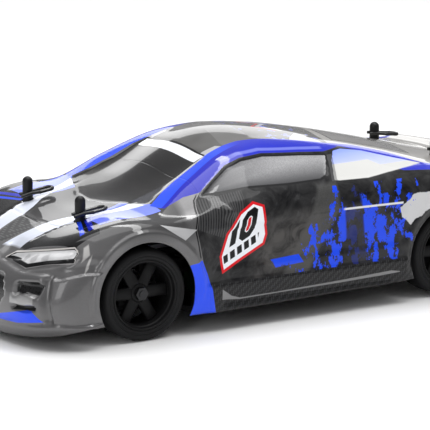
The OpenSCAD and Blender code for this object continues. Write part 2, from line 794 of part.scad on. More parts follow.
module axle_fr() at_axle(front_axle_x, -1) front_axle();
module axle_rl() at_axle(rear_axle_x, 1) rear_half_shaft();
module axle_rr() at_axle(rear_axle_x, -1) rear_half_shaft();

// ---------------------------------------------------------------- wheels

// turn a profile of [radius, y] points about the axle
module turned(pts) {
    translate([0, 0, axle_z])
        rotate([-90, 0, 0])
            rotate_extrude($fn = 96)
                polygon(pts);
}

// deep-dish rim: barrel, stepped lip and a six-spoke star set back inside it
module rim() {
    spokes = 6;
    r = rim_r - 0.03;
    color([0.05, 0.05, 0.05]) {
        turned([[r - 1.5, tyre_in + 0.9], [r, tyre_in + 0.7], [r, tyre_out - 0.6],
            [r - 1.2, tyre_out - 0.6], [r - 1.2, tyre_out - 3], [r - 2.2, tyre_out - 3],
            [r - 2.2, tyre_out - 6], [r - 1.5, tyre_out - 6.5]]);
        difference() {
            union() {
                rod_y(4.6, 46, 53.6, 0, axle_z);
                for (k = [0:spokes - 1])
                    translate([0, 50, axle_z])
                        rotate([0, k * 360 / spokes, 0])
                            rotate([-90, 0, 0])
                                linear_extrude(2.6)
                                    polygon([[3, -2.6], [3, 2.6], [r - 1, 1.7], [r - 1, -1.7]]);
            }
            rod_y(1.5 + play, 45, 57, 0, axle_z);
        }
    }
}
module rim_fl() at_axle(front_axle_x, 1) rim();
module rim_fr() at_axle(front_axle_x, -1) rim();
module rim_rl() at_axle(rear_axle_x, 1) rim();
module rim_rr() at_axle(rear_axle_x, -1) rim();

// slick tyre with rounded shoulders
module tyre() {
    r = tyre_d / 2;
    round_r = 2.4;
    color([0.03, 0.03, 0.03])
        turned(concat(
            [[rim_r, tyre_in + 0.6], [rim_r + 2, tyre_in]],
            [for (a = [0:15:90]) [r - round_r + round_r * sin(a), tyre_in + round_r * (1 - cos(a))]],
            [for (a = [90:-15:0]) [r - round_r + round_r * sin(a), tyre_out - round_r * (1 - cos(a))]],
            [[rim_r + 2, tyre_out], [rim_r, tyre_out - 0.6]]));
}
module tyre_fl() at_axle(front_axle_x, 1) tyre();
module tyre_fr() at_axle(front_axle_x, -1) tyre();
module tyre_rl() at_axle(rear_axle_x, 1) tyre();
module tyre_rr() at_axle(rear_axle_x, -1) tyre();

// ---------------------------------------------------------------- shocks

shock_lean = atan2(shock_foot[0] - shock_top[0], shock_top[1] - shock_foot[1]);
shock_len = norm(shock_foot - shock_top);

// place a part drawn down the shock's own axis from its top pin. way is -1 behind the axle
module on_shock(way) {
    translate([way * shock_off, shock_top[0], shock_top[1]])
        rotate([180 + shock_lean, 0, 0])
            children();
}
module shock_body(way) {
    color([0.78, 0.6, 0.25])
        on_shock(way)
            difference() {
                union() {
                    rotate([0, 90, 0])
                        cylinder(r = 2.5, h = 3.2, center = true);
                    translate([0, 0, 1.8])
                        cylinder(r = 3.6, h = 2.2);
                    translate([0, 0, 4 - eps])
                        cylinder(r = 2.2, h = 11);
                }
                rotate([0, 90, 0])
                    cylinder(r = 1.25 + play, h = 5, center = true);
                translate([0, 0, 5])
                    cylinder(r = 1.25, h = 11);
            }
}
module shock_rod(way) {
    color([0.8, 0.8, 0.82])
        on_shock(way)
            difference() {
                union() {
                    translate([0, 0, 10.5])
                        cylinder(r = 0.9, h = shock_len - 12.5);
                    translate([0, 0, shock_len - 5.4])
                        cylinder(r = 3.6, h = 1.4);
                    translate([0, 0, shock_len - 4.4])
                        cylinder(r = 1.5, h = 2.7);
                    translate([0, 0, shock_len])
                        rotate([0, 90, 0])
                            cylinder(r = 2.3, h = 3.2, center = true);
                }
                translate([0, 0, shock_len])
                    rotate([0, 90, 0])
                        cylinder(r = 1.25 + play, h = 5, center = true);
            }
}
module shock_body_fl() at_axle(front_axle_x, 1) shock_body(1);
module shock_body_fr() at_axle(front_axle_x, -1) shock_body(1);
module shock_body_rl() at_axle(rear_axle_x, 1) shock_body(-1);
module shock_body_rr() at_axle(rear_axle_x, -1) shock_body(-1);
module shock_rod_fl() at_axle(front_axle_x, 1) shock_rod(1);
module shock_rod_fr() at_axle(front_axle_x, -1) shock_rod(1);
module shock_rod_rl() at_axle(rear_axle_x, 1) shock_rod(-1);
module shock_rod_rr() at_axle(rear_axle_x, -1) shock_rod(-1);

// coil spring as a faceted tube along a helix
module coil(r, wire_r, z0, z1, turns) {
    steps = 14;
    sides = 5;
    count = turns * steps;
    pts = [for (i = [0:count]) for (k = [0:sides - 1])
        let (a = 360 * i / steps)
        let (b = 360 * k / sides)
        let (ring = r + wire_r * cos(b))
        [ring * cos(a), ring * sin(a), z0 + (z1 - z0) * i / count + wire_r * sin(b)]];
    faces = concat(
        [[for (k = [0:sides - 1]) k]],
        [[for (k = [sides - 1:-1:0]) count * sides + k]],
        [for (i = [0:count - 1]) for (k = [0:sides - 1])
            let (n = (k + 1) % sides)
            each [[i * sides + k, (i + 1) * sides + k, (i + 1) * sides + n],
                [i * sides + k, (i + 1) * sides + n, i * sides + n]]]);
    polyhedron(pts, faces, convexity = 10);
}
module shock_springs() {
    color([0.85, 0.85, 0.87])
        for (s = [-1, 1]) {
            at_axle(front_axle_x, s)
                on_shock(1)
                    coil(2.95, 0.4, 4.6, shock_len - 6, 7);
            at_axle(rear_axle_x, s)
                on_shock(-1)
                    coil(2.95, 0.4, 4.6, shock_len - 6, 7);
        }
}

body_shell();
clip_front_left();
clip_front_right();
clip_rear_left();
clip_rear_right();
chassis_tub();
front_bumper();
front_gearbox();
rear_gearbox();
front_tower();
rear_tower();
body_posts();
motor_can();
motor_pinion();
centre_shaft();
front_diff();
rear_diff();
servo();
servo_horn();
drag_link();
tie_rod_left();
tie_rod_right();
battery();
battery_strap();
speed_control();
power_switch();
hinge_pins();
lower_arm_fl();
lower_arm_fr();
lower_arm_rl();
lower_arm_rr();
upper_arm_left();
upper_arm_right();
c_hub_left();
c_hub_right();
knuckle_left();
knuckle_right();
dogbone_left();
dogbone_right();
axle_fl();
axle_fr();
axle_rl();
axle_rr();
rim_fl();
rim_fr();
rim_rl();
rim_rr();
tyre_fl();
tyre_fr();
tyre_rl();
tyre_rr();
shock_body_fl();
shock_body_fr();
shock_body_rl();
shock_body_rr();
shock_rod_fl();
shock_rod_fr();
shock_rod_rl();
shock_rod_rr();
shock_springs();
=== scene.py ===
"""Radio controlled touring car: the finish and fine shape of each piece, over the car's moving frame."""

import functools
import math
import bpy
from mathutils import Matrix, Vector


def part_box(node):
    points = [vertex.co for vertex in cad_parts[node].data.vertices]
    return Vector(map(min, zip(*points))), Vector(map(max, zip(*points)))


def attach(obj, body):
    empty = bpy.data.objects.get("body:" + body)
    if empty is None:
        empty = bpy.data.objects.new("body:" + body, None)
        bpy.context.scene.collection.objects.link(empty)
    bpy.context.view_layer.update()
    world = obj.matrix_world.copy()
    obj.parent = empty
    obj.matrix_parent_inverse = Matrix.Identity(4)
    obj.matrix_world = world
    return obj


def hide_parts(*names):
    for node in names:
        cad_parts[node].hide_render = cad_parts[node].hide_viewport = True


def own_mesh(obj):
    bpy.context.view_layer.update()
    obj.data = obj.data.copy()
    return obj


bl_info = {
    "name": "Touring Car Looks",
    "version": (1, 0, 0),
    "blender": (4, 5, 0),
    "location": "View3D > Sidebar > Touring Car",
    "description": "Builds the printed body shell, wheels and springs of the car and finishes its chassis",
    "category": "Add Mesh",
}

import bmesh
import bpy
import numpy as np
from bpy.props import FloatProperty, FloatVectorProperty, IntProperty, PointerProperty
from mathutils import Matrix, Vector

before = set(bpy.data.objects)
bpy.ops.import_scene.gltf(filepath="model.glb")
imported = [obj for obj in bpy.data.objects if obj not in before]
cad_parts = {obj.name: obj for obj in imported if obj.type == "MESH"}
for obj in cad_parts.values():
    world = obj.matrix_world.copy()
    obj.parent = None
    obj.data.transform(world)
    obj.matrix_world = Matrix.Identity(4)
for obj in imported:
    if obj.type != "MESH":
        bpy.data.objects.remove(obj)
MM = 0.001
CORNERS = ("fl", "fr", "rl", "rr")


# ---------------------------------------------------------------- the shell's form

# Control lines of the shell's left half in mm, each from the bottom of the nose over the bonnet
# and roof to the bottom of the tail.
LINE_CENTRE = [
    (134, 0, 4), (138, 0, 12), (139.5, 0, 23), (136, 0, 33), (127, 0, 40.5),
    (111, 0, 47.5), (94, 0, 52.3), (75, 0, 56), (54, 0, 66.5), (31, 0, 78.5),
    (8, 0, 83.5), (-16, 0, 82.6), (-42, 0, 78.3), (-68, 0, 72.6), (-94, 0, 66.2),
    (-116, 0, 61.3), (-133, 0, 59.8), (-138.5, 0, 50), (-140, 0, 30), (-136, 0, 12)]
LINE_INNER = [
    (133, 23, 4.2), (136.5, 24, 12), (137.5, 24, 23), (134, 24, 33), (125, 24, 41),
    (110, 24, 48.3), (93, 25, 53.2), (72, 26, 57.2), (51, 24, 66), (29, 22, 77),
    (7, 21, 82), (-16, 21, 81), (-42, 21, 76.8), (-68, 21, 71.3), (-94, 23, 65),
    (-116, 26, 60.3), (-132, 27, 58.8), (-137.5, 27, 49), (-139, 27, 30), (-135, 27, 12)]
LINE_ROOF = [
    (128, 42, 6), (132, 43, 12), (133, 43, 23), (129, 42, 34), (120, 42, 43),
    (107, 44, 50.6), (90, 46, 54.9), (68, 48, 56.9), (48, 43, 67), (25, 38.5, 76),
    (5, 37, 78.3), (-16, 37, 77.4), (-42, 37, 73.8), (-68, 38, 69), (-94, 42, 63.2),
    (-116, 46, 58.6), (-130, 46, 57.5), (-135, 47, 47), (-136, 47, 30), (-132, 47, 12)]
LINE_BELT = [
    (121, 53, 8), (124.5, 54.5, 13), (125, 54.5, 23), (121, 53, 35), (113, 52.5, 44.5),
    (102, 53, 52), (85, 54, 55.3), (62, 55, 55), (42, 54.5, 60.5), (22, 53, 64),
    (3, 52.5, 65.5), (-16, 52.5, 65.3), (-42, 53, 64.3), (-68, 54, 63), (-94, 55, 61),
    (-114, 55, 58), (-126, 54, 55.5), (-130, 54.5, 46), (-130, 55, 30), (-127, 54, 12)]
LINE_SHOULDER = [
    (116, 57.5, 9.5), (119, 58.5, 14), (119, 58.5, 24), (115, 58, 35), (106, 58.5, 43.5),
    (97, 59, 49), (82, 59.5, 52.3), (60, 59.3, 53), (40, 59, 55.5), (21, 58.8, 57.8),
    (3, 58.6, 58.8), (-16, 58.6, 58.8), (-42, 59, 58.5), (-68, 60, 57.8), (-92, 60.8, 56.5),
    (-110, 60, 54.5), (-121, 58, 51), (-125, 57.5, 43), (-125, 57.5, 30), (-122, 57, 12)]
LINE_SIDE = [
    (112, 60, 10.3), (113, 60.8, 14.5), (112, 61, 24), (108, 61.3, 34), (101, 61.6, 40),
    (92, 61.8, 43), (78, 61.8, 44.5), (57, 61.3, 44.5), (39, 60.8, 45), (20, 60.5, 46),
    (2, 60.4, 46.3), (-16, 60.5, 46.5), (-42, 61, 46.8), (-68, 62, 47), (-90, 62.4, 46.8),
    (-104, 62, 46), (-114, 61, 43), (-118, 60.5, 37), (-118, 60, 26), (-117, 59, 12)]
LINE_ROCKER = [
    (109, 61, 10.6), (108, 61.3, 14.5), (106, 61.6, 22), (102, 61.8, 28), (96, 62, 31),
    (88, 62, 32), (76, 62, 32), (56, 61.5, 30), (38, 61, 29), (20, 60.7, 28.6),
    (2, 60.6, 28.5), (-16, 60.7, 28.8), (-42, 61.2, 29.5), (-68, 62.2, 31), (-88, 62.4, 33),
    (-98, 62.2, 32), (-106, 61.6, 29), (-110, 61, 25), (-111, 60.5, 20), (-112, 60, 12)]
LINE_SILL = [
    (106, 60.5, 10.8), (104, 60.7, 10.4), (101, 60.8, 10), (97, 61, 9.8), (91, 61, 9.7),
    (84, 61, 9.6), (72, 61, 9.6), (54, 60.8, 9.6), (37, 60.5, 9.6), (19, 60.3, 9.8),
    (1, 60.3, 10), (-17, 60.4, 10.4), (-42, 60.7, 11), (-66, 61.3, 11.6), (-82, 61.5, 12),
    (-90, 61.5, 12.1), (-97, 61.3, 12.1), (-102, 61, 12.1), (-106, 60.8, 12), (-109, 60.5, 12)]
SHELL_LINES = [LINE_CENTRE, LINE_INNER, LINE_ROOF, LINE_BELT, LINE_SHOULDER, LINE_SIDE,
               LINE_ROCKER, LINE_SILL]

# Areas of the shell in mm. Each has a lower and an upper edge drawn over the same direction.
# Side areas go over x and show z, nose areas go over the distance from the middle and show z,
# and the windscreen and bonnet areas go over the distance from the middle and show x.
SIDE_WINDOW = ([(-28, 72.4), (-22, 65.2), (-18, 64), (0, 63.8), (21, 64.2), (39, 63), (46, 62.6)],
               [(-28, 73.3), (-14, 74.6), (7, 75.9), (19, 75), (28, 72.6), (38, 67.4), (46, 62.8)])
QUARTER_WINDOW = ([(-80, 64.6), (-67, 64.2), (-57, 63.6), (-44, 62.5), (-28, 62.8), (-25, 63.2)],
                  [(-80, 64.8), (-65.6, 68.4), (-51, 72.3), (-39.5, 74.2), (-34, 74), (-29.5, 70.8),
                   (-25, 63.5)])
WINDSCREEN = ([(0, 30.2), (27, 29.8), (28.4, 34), (30, 47), (33.5, 58.6), (37.4, 66.2)],
              [(0, 78), (12, 76.5), (20, 73.6), (30, 70), (37.4, 66.8)])
BANNER = ([(0, 31.4), (26.6, 30.6)], [(0, 36.8), (28.2, 35.6)])
HEADLIGHT = ([(15.5, 36.6), (23.3, 35.9), (32.6, 34.5), (43, 37.6), (53, 39.2), (55, 39.6)],
             [(15.5, 37.2), (18.4, 39.8), (29, 41.9), (51, 46.3), (53.5, 44.8), (55, 40.4)])
LAMP = ([(17.5, 37.1), (24, 36.9), (33, 36.2), (43, 39), (53, 41)],
        [(17.5, 37.8), (20, 39), (29, 40.9), (45, 44), (51, 45), (53, 44.4)])
FOG_INTAKE = ([(34.6, 24.6), (36, 23.4), (40.5, 25.6), (47.4, 24.4), (48.6, 25.6)],
              [(34.6, 29.4), (36, 30.4), (46.8, 31.2), (48.6, 29.6)])
LOWER_SLOT = ([(34.6, 17.3), (48, 18.4)], [(34.6, 19.5), (46.8, 20.4), (48, 19.8)])
GRILLE = ([(0, 15), (22, 15), (28, 22)], [(0, 33), (25, 32), (28, 24)])
RAIL_LOW = [(-104, 58), (-95, 61), (-80, 62.6), (-66, 63.6), (-58, 66), (-51, 72), (-40, 75), (-28, 74.4),
            (-14, 75.6), (7, 76.9), (19, 76), (28, 73.7), (38, 68.4), (46, 64), (54, 62.4), (64, 58.2)]
RAIL_IN = [(-104, 52), (-81, 46), (-73, 40), (-65, 35), (-50, 31), (-34, 32), (-20, 31), (0, 28),
           (12, 25.5), (20, 25.8), (30, 27.6), (37, 30.4), (48, 32), (58, 35), (67, 40)]
# Wheel arches: the middle's x and z, and the radius. Body posts: x and the height that their holes lie above.
ARCHES = ((80.0, 21.5, 25.0), (-90.0, 21.5, 25.0))
POSTS = ((96, 40), (-103, 50))
POST_OUT = 26.5
# Shocks in mm: x at each end of the car, the pin and the eye as distance from the middle and height,
# the spring's distance from each, and its radius.
SHOCKS_AT = {"f": 89.8, "r": -99.8}
SHOCK_PIN, SHOCK_EYE = (20, 44), (29, 14)
PIN_TO_SPRING, EYE_TO_SPRING, SPRING_R = 4.6, 5.8, 2.95
# Outer radius of the rims in mm.
RIM_R = 16.47


def curve_between(a, b, c, d, t):
    """A smooth curve through b and c, with a and d as its neighbours."""
    return 0.5 * (2 * b + (c - a) * t + (2 * a - 5 * b + 4 * c - d) * t * t + (3 * b - a - 3 * c + d) * t ** 3)


def refine(rows, cells):
    """Rows of points joined by smooth curves and cut into steps of about one cell."""
    ends = np.concatenate([[2 * rows[0] - rows[1]], rows, [2 * rows[-1] - rows[-2]]])
    fine = []
    for a, b, c, d, cell in zip(ends, ends[1:], ends[2:], ends[3:], cells):
        steps = max(2, round(float(np.linalg.norm(c - b, axis=-1).max()) / cell))
        fine += [curve_between(a, b, c, d, k / steps) for k in range(steps)]
    return np.array(fine + [rows[-1]])


def skin_grid(cell):
    """Points of the shell's outer face in mm: first along the car, then across it."""
    nose_cells = [cell * (0.7 if k < 7 else 1.25) for k in range(len(LINE_CENTRE) - 1)]
    lines = refine(np.array(SHELL_LINES, float).transpose(1, 0, 2), nose_cells)
    right = lines[:, :0:-1] * (1, -1, 1)
    sections = np.concatenate([right, lines], axis=1)
    across = [cell * 0.95] * (sections.shape[1] - 1)
    return refine(sections.transpose(1, 0, 2), across).transpose(1, 0, 2)


def skin_normals(grid):
    """Outward unit normals of a grid of points."""
    normal = np.cross(np.gradient(grid, axis=1), np.gradient(grid, axis=0))
    normal /= np.linalg.norm(normal, axis=2, keepdims=True)
    middle = normal[normal.shape[0] // 2, normal.shape[1] // 2]
    return normal if middle[2] > 0 else -normal


def ease(low, high, value):
    """Rises smoothly from 0 at low to 1 at high."""
    t = np.clip((value - low) / (high - low), 0, 1)
    return t * t * (3 - 2 * t)


def least(a, b):
    return a.least(b) if isinstance(a, Value) else np.minimum(a, b)


def edge_at(points, a):
    """The height of an area's edge at a, for numbers and for shader values."""
    if isinstance(a, Value):
        return a.finish.edge(points, a)
    return np.interp(a, [p[0] for p in points], [p[1] for p in points])


def depth_in(area, a, b):
    """How far a point lies inside an area in mm, less than 0 outside it."""
    lower, upper = area
    start, end = max(lower[0][0], upper[0][0]), min(lower[-1][0], upper[-1][0])
    across = least(edge_at(upper, a) - b, b - edge_at(lower, a))
    if start > 0 or lower[0][0] < 0:
        across = least(across, a - start)
    return least(across, end - a)


def moulded_relief(x, y, z):
    """How far the moulded skin stands out from the plain form at each point, in mm."""
    away = np.abs(y)
    out = np.zeros_like(x)
    on_side = ease(44, 52, away)
    on_nose = ease(101, 108, x) * ease(50, 46, z)
    # glass areas sit a little lower than the rails and bonnet around them
    out -= 0.55 * ease(-0.5, 0.9, depth_in(SIDE_WINDOW, x, z)) * ease(36, 40, away)
    out -= 0.45 * ease(-0.5, 0.9, depth_in(QUARTER_WINDOW, x, z)) * ease(33, 38, away)
    out -= 0.5 * ease(-0.6, 1.2, depth_in(WINDSCREEN, away, x)) * ease(52, 56, z)
    # wheel arch lips and the crease around each
    for cx, cz, r in ARCHES:
        reach = np.hypot(x - cx, z - cz) - r
        flare = on_side * ease(14, 20, z)
        out += 0.9 * flare * ease(5.6, 4.4, reach)
        out -= 1.5 * flare * ease(4.2, 0.6, reach)
    # side skirt, its ledge and the crease line of the doors
    along_doors = ease(-66, -60, x) * ease(50, 45, x) * on_side
    out += 1.0 * along_doors * ease(23.4, 22.2, z)
    out -= 0.9 * along_doors * ease(16.6, 15.8, z) * ease(11.5, 12.3, z) * ease(-58, -50, x) * ease(42, 38, x)
    crease = np.interp(x, [-60, -25, 14, 40], [49.6, 49.8, 48.8, 47.5])
    out -= 0.7 * along_doors * ease(0.0, 0.9, crease - z) * ease(27, 33, z)
    # door mirror swelling
    out += 2.8 * np.exp(-((x - 35.5) / 2.8) ** 2 - ((z - 55.4) / 2.2) ** 2) * on_side
    # headlamp pocket, lamp bowl and the shelf under it
    out -= 1.2 * ease(-0.5, 0.8, depth_in(HEADLIGHT, away, z)) * ease(104, 108, x)
    out += 0.9 * ease(0.2, 1.8, depth_in(LAMP, away, z)) * ease(104, 108, x)
    shelf = np.interp(away, [0, 19, 34.4, 48.3, 53.5, 59.8], [37, 36.6, 34.2, 34.4, 32.6, 35.2])
    out -= 1.7 * on_nose * ease(-0.3, 0.5, z - shelf) * ease(7, 2, z - shelf - 1.5) * ease(8, 14, away)
    # bumper channel, intakes, grille mouth and splitter
    channel = np.interp(z, [12, 17, 24, 34], [52.6, 52.4, 51.4, 49.4])
    groove = ease(-3.4, 0.6, away - channel) * ease(2.0, 1.2, away - channel)
    out -= 2.2 * on_nose * groove * ease(12, 14, z) * ease(34.5, 33, z)
    out -= 3.0 * on_nose * ease(-0.2, 0.5, depth_in(FOG_INTAKE, away, z))
    out -= 2.4 * on_nose * ease(-0.2, 0.4, depth_in(LOWER_SLOT, away, z))
    out -= 2.4 * on_nose * ease(-0.4, 1.0, depth_in(GRILLE, away, z))
    lip = np.interp(away, [0, 21, 48, 56, 59], [8.2, 8.6, 11.4, 12.6, 12])
    out += 1.5 * ease(100, 110, x) * ease(0.5, -0.4, z - lip)
    # bonnet: gaps beside its middle and across it
    on_bonnet = ease(66, 72, x) * ease(122, 116, x) * ease(40, 44, z)
    out -= 0.45 * on_bonnet * ease(0.9, 0.2, np.abs(away - np.interp(x, [70, 98, 127], [26.5, 26.2, 18]) - 0.4))
    out -= 0.5 * on_bonnet * ease(0.7, 0.1, np.abs(x - 106)) * ease(26, 24, away)
    # tail: ducktail lip, lamp band and diffuser pocket
    out += 1.7 * ease(-122, -130, x) * ease(54, 57, z) * ease(52, 44, away)
    on_tail = ease(-122, -128, x)
    out -= 1.0 * on_tail * ease(45.2, 44.4, z) * ease(37.2, 38, z) * ease(53, 50, away)
    out -= 1.6 * on_tail * ease(22.5, 21.3, z) * ease(38, 35, away)
    return out


def cut_away(shape, reach):
    """Cuts a mesh along the line where reach is 0 and removes the part where it is less."""
    split = []
    for e in list(shape.edges):
        a, b = (reach(v.co) for v in e.verts)
        if (a < 0) != (b < 0) and abs(a - b) > 1e-9:
            _, new = bmesh.utils.edge_split(e, e.verts[0], a / (a - b))
            split.append(new)
    bmesh.ops.connect_verts(shape, verts=split)
    on_line = set(split)
    gone = [f for f in shape.faces if all(v in on_line or reach(v.co) < 0 for v in f.verts)]
    bmesh.ops.delete(shape, geom=gone, context="FACES")


def arch_reach(cx, cz, r):
    return lambda p: math.hypot(p.x / MM - cx, p.z / MM - cz) - r


def hole_reach(cx, cy, r, low):
    return lambda p: math.hypot(p.x / MM - cx, p.y / MM - cy) - r if p.z / MM > low else 1.0


def link(name, shape, *finishes):
    """A new object from a bmesh, with its finishes and smooth shading."""
    mesh = bpy.data.meshes.new(name)
    shape.normal_update()
    shape.to_mesh(mesh)
    shape.free()
    for finish in finishes:
        mesh.materials.append(finish)
    mesh.polygons.foreach_set("use_smooth", [True] * len(mesh.polygons))
    made = bpy.data.objects.new(name, mesh)
    bpy.context.scene.collection.objects.link(made)
    return made


def add(made, kind, **settings):
    modifier = made.modifiers.new(kind.title(), kind)
    for name, value in settings.items():
        setattr(modifier, name, value)
    return modifier


def settle(made):
    """Applies an object's modifiers, so that its mesh is final."""
    bpy.context.view_layer.update()
    seen = made.evaluated_get(bpy.context.evaluated_depsgraph_get())
    mesh = bpy.data.meshes.new_from_object(seen)
    made.modifiers.clear()
    made.data = mesh
    return made


# ---------------------------------------------------------------- finishes

class Value:
    """A number or vector that varies over a finish and takes part in ordinary arithmetic."""

    def __init__(self, finish, socket):
        self.finish = finish
        self.socket = socket

    def math(self, operation, *others, clamp=False):
        return self.finish.node("ShaderNodeMath", {"operation": operation, "use_clamp": clamp}, self, *others)

    def __add__(self, other):
        return self.math("ADD", other)

    __radd__ = __add__

    def __sub__(self, other):
        return self.math("SUBTRACT", other)

    def __rsub__(self, other):
        return self.finish.node("ShaderNodeMath", {"operation": "SUBTRACT"}, other, self)

    def __mul__(self, other):
        return self.math("MULTIPLY", other)

    __rmul__ = __mul__

    def __truediv__(self, other):
        return self.math("DIVIDE", other)

    def __abs__(self):
        return self.math("ABSOLUTE")

    def least(self, other):
        return self.math("MINIMUM", other)

    def most(self, other):
        return self.math("MAXIMUM", other)

    def part(self):
        return self.math("FRACT")

    def over(self, level, soft=0.12):
        """1 where the value is above level and 0 below it, with a soft edge."""
        return self.math("MULTIPLY_ADD", 1 / soft, 0.5 - level / soft, clamp=True)

    def under(self, level, soft=0.12):
        return self.math("MULTIPLY_ADD", -1 / soft, 0.5 + level / soft, clamp=True)


class Finish:
    """A material whose nodes are added by arithmetic and by one method for every other node."""

    def __init__(self, name, colour, rough=0.5, metal=0.0, coat=0.0, coat_rough=0.05, coat_ior=1.5,
                 specular=0.5):
        self.material = bpy.data.materials.new(name)
        self.material.use_nodes = True
        self.tree = self.material.node_tree
        self.shader = self.tree.nodes["Principled BSDF"]
        self.place = None
        for socket, value in (("Base Color", (*colour, 1)), ("Roughness", rough), ("Metallic", metal),
                              ("Coat Weight", coat), ("Coat Roughness", coat_rough),
                              ("Coat IOR", coat_ior), ("Specular IOR Level", specular)):
            self.shader.inputs[socket].default_value = value

    @classmethod
    def over_tree(cls, tree):
        """The same arithmetic over another node tree, such as the sky's."""
        made = cls.__new__(cls)
        made.tree, made.place = tree, None
        return made

    def node(self, kind, settings, *inputs, out=0, **named):
        """Adds a node: its settings first, then the values or links of its sockets."""
        made = self.tree.nodes.new(kind)
        for name, value in settings.items():
            if name == "stops":
                ramp = made.color_ramp
                for spot, _ in value[2:]:
                    ramp.elements.new(spot)
                for element, (spot, colour) in zip(ramp.elements, sorted(value)):
                    element.position = spot
                    element.color = (*colour, 1)
            elif name == "line":
                points = made.mapping.curves[0].points
                for _ in value[2:]:
                    points.new(0.5, 0.5)
                for point, spot in zip(points, value):
                    point.location = spot
                    point.handle_type = "VECTOR"
                made.mapping.update()
            else:
                setattr(made, name, value)
        for spot, value in [*enumerate(inputs), *((n.replace("_", " "), v) for n, v in named.items())]:
            self.fill(made.inputs[spot], value)
        return Value(self, made.outputs[out])

    def fill(self, socket, value):
        if isinstance(value, Value):
            self.tree.links.new(value.socket, socket)
        elif value is not None:
            socket.default_value = value

    def drive(self, socket, value):
        self.fill(self.shader.inputs[socket], value)

    def point(self):
        """The point on the object in mm."""
        if self.place is None:
            spot = self.node("ShaderNodeTexCoord", {}, out=3)
            self.place = self.node("ShaderNodeVectorMath", {"operation": "SCALE"}, spot, Scale=1 / MM)
        return self.place

    def axes(self):
        split = self.node("ShaderNodeSeparateXYZ", {}, self.point())
        return [Value(self, split.socket.node.outputs[k]) for k in range(3)]

    def vector(self, x, y, z):
        return self.node("ShaderNodeCombineXYZ", {}, x, y, z)

    def shades(self, factor, stops):
        return self.node("ShaderNodeValToRGB", {"stops": stops}, factor)

    def mix(self, factor, below, above):
        """Lays one colour over another."""
        made = self.tree.nodes.new("ShaderNodeMix")
        made.data_type = "RGBA"
        for spot, value in ((0, factor), (6, below), (7, above)):
            self.fill(made.inputs[spot], (*value, 1) if isinstance(value, tuple) else value)
        return Value(self, made.outputs[2])

    def noise(self, size, detail=3.0, rough=0.5, where=None, twist=0.0):
        """Cloudy noise with features of about size mm."""
        return self.node("ShaderNodeTexNoise", {}, where or self.point(), Scale=1 / size, Detail=detail,
                         Roughness=rough, Distortion=twist)

    def cells(self, size, where=None):
        """Scattered cells of about size mm: how far each point lies from its cell's middle."""
        return self.node("ShaderNodeTexVoronoi", {}, where or self.point(), Scale=1 / size)

    def edge(self, points, a):
        """A drawn edge: the height of a line of points at a."""
        xs, ys = [p[0] for p in points], [p[1] for p in points]
        low, span = min(ys), max(max(ys) - min(ys), 0.001)
        wide = xs[-1] - xs[0]
        line = [((x - xs[0]) / wide, (y - low) / span) for x, y in points]
        spot = a.math("MULTIPLY_ADD", 1 / wide, -xs[0] / wide, clamp=True)
        drawn = self.node("ShaderNodeFloatCurve", {"line": line}, 1.0, spot)
        return drawn.math("MULTIPLY_ADD", span, low)

    def shape(self, plane, corners):
        """How far a point of a plane lies inside a shape with outward corners, in mm."""
        turn = sum(a[0] * b[1] - b[0] * a[1] for a, b in zip(corners, corners[1:] + corners[:1]))
        if turn < 0:
            corners = corners[::-1]
        inside = None
        for (ax, ay), (bx, by) in zip(corners, corners[1:] + corners[:1]):
            long = math.hypot(bx - ax, by - ay)
            nx, ny = -(by - ay) / long, (bx - ax) / long
            side = self.node("ShaderNodeVectorMath", {"operation": "DOT_PRODUCT"}, plane,
                             (nx, ny, -(nx * ax + ny * ay)), out=1)
            inside = side if inside is None else inside.least(side)
        return inside

    def bump(self, height, strength=0.3, distance=0.1):
        """Relief from a height in mm."""
        normal = self.node("ShaderNodeBump", {}, Strength=strength, Distance=distance * MM, Height=height)
        self.drive("Normal", normal)


def woven(finish, a, b, pitch):
    """Twill weave: lighter and darker threads that cross at right angles."""
    u, v = a / pitch, b / pitch
    step = ((u.math("FLOOR") + v.math("FLOOR")) / 4).part().over(0.45, 0.1)
    warp = abs((u.part() - 0.5) * 2)
    weft = abs((v.part() - 0.5) * 2)
    return step * (1 - warp * warp) + (1 - step) * (1 - weft * weft) * 0.45


BLUE = (0.006, 0.018, 0.5)
BRIGHT_BLUE = (0.016, 0.075, 0.86)
PALE_BLUE = (0.2, 0.26, 1.0)
GUNMETAL = (0.1, 0.1, 0.104)
DEEP_BLACK = (0.006, 0.006, 0.007)
SMOKE = (0.035, 0.035, 0.036)
# colour of the painted highlight along the door crease
CREASE_HIGHLIGHT_WHITE = (0.78, 0.78, 0.8)
WHITE = (0.9, 0.92, 0.97)
RED = (0.72, 0.012, 0.02)


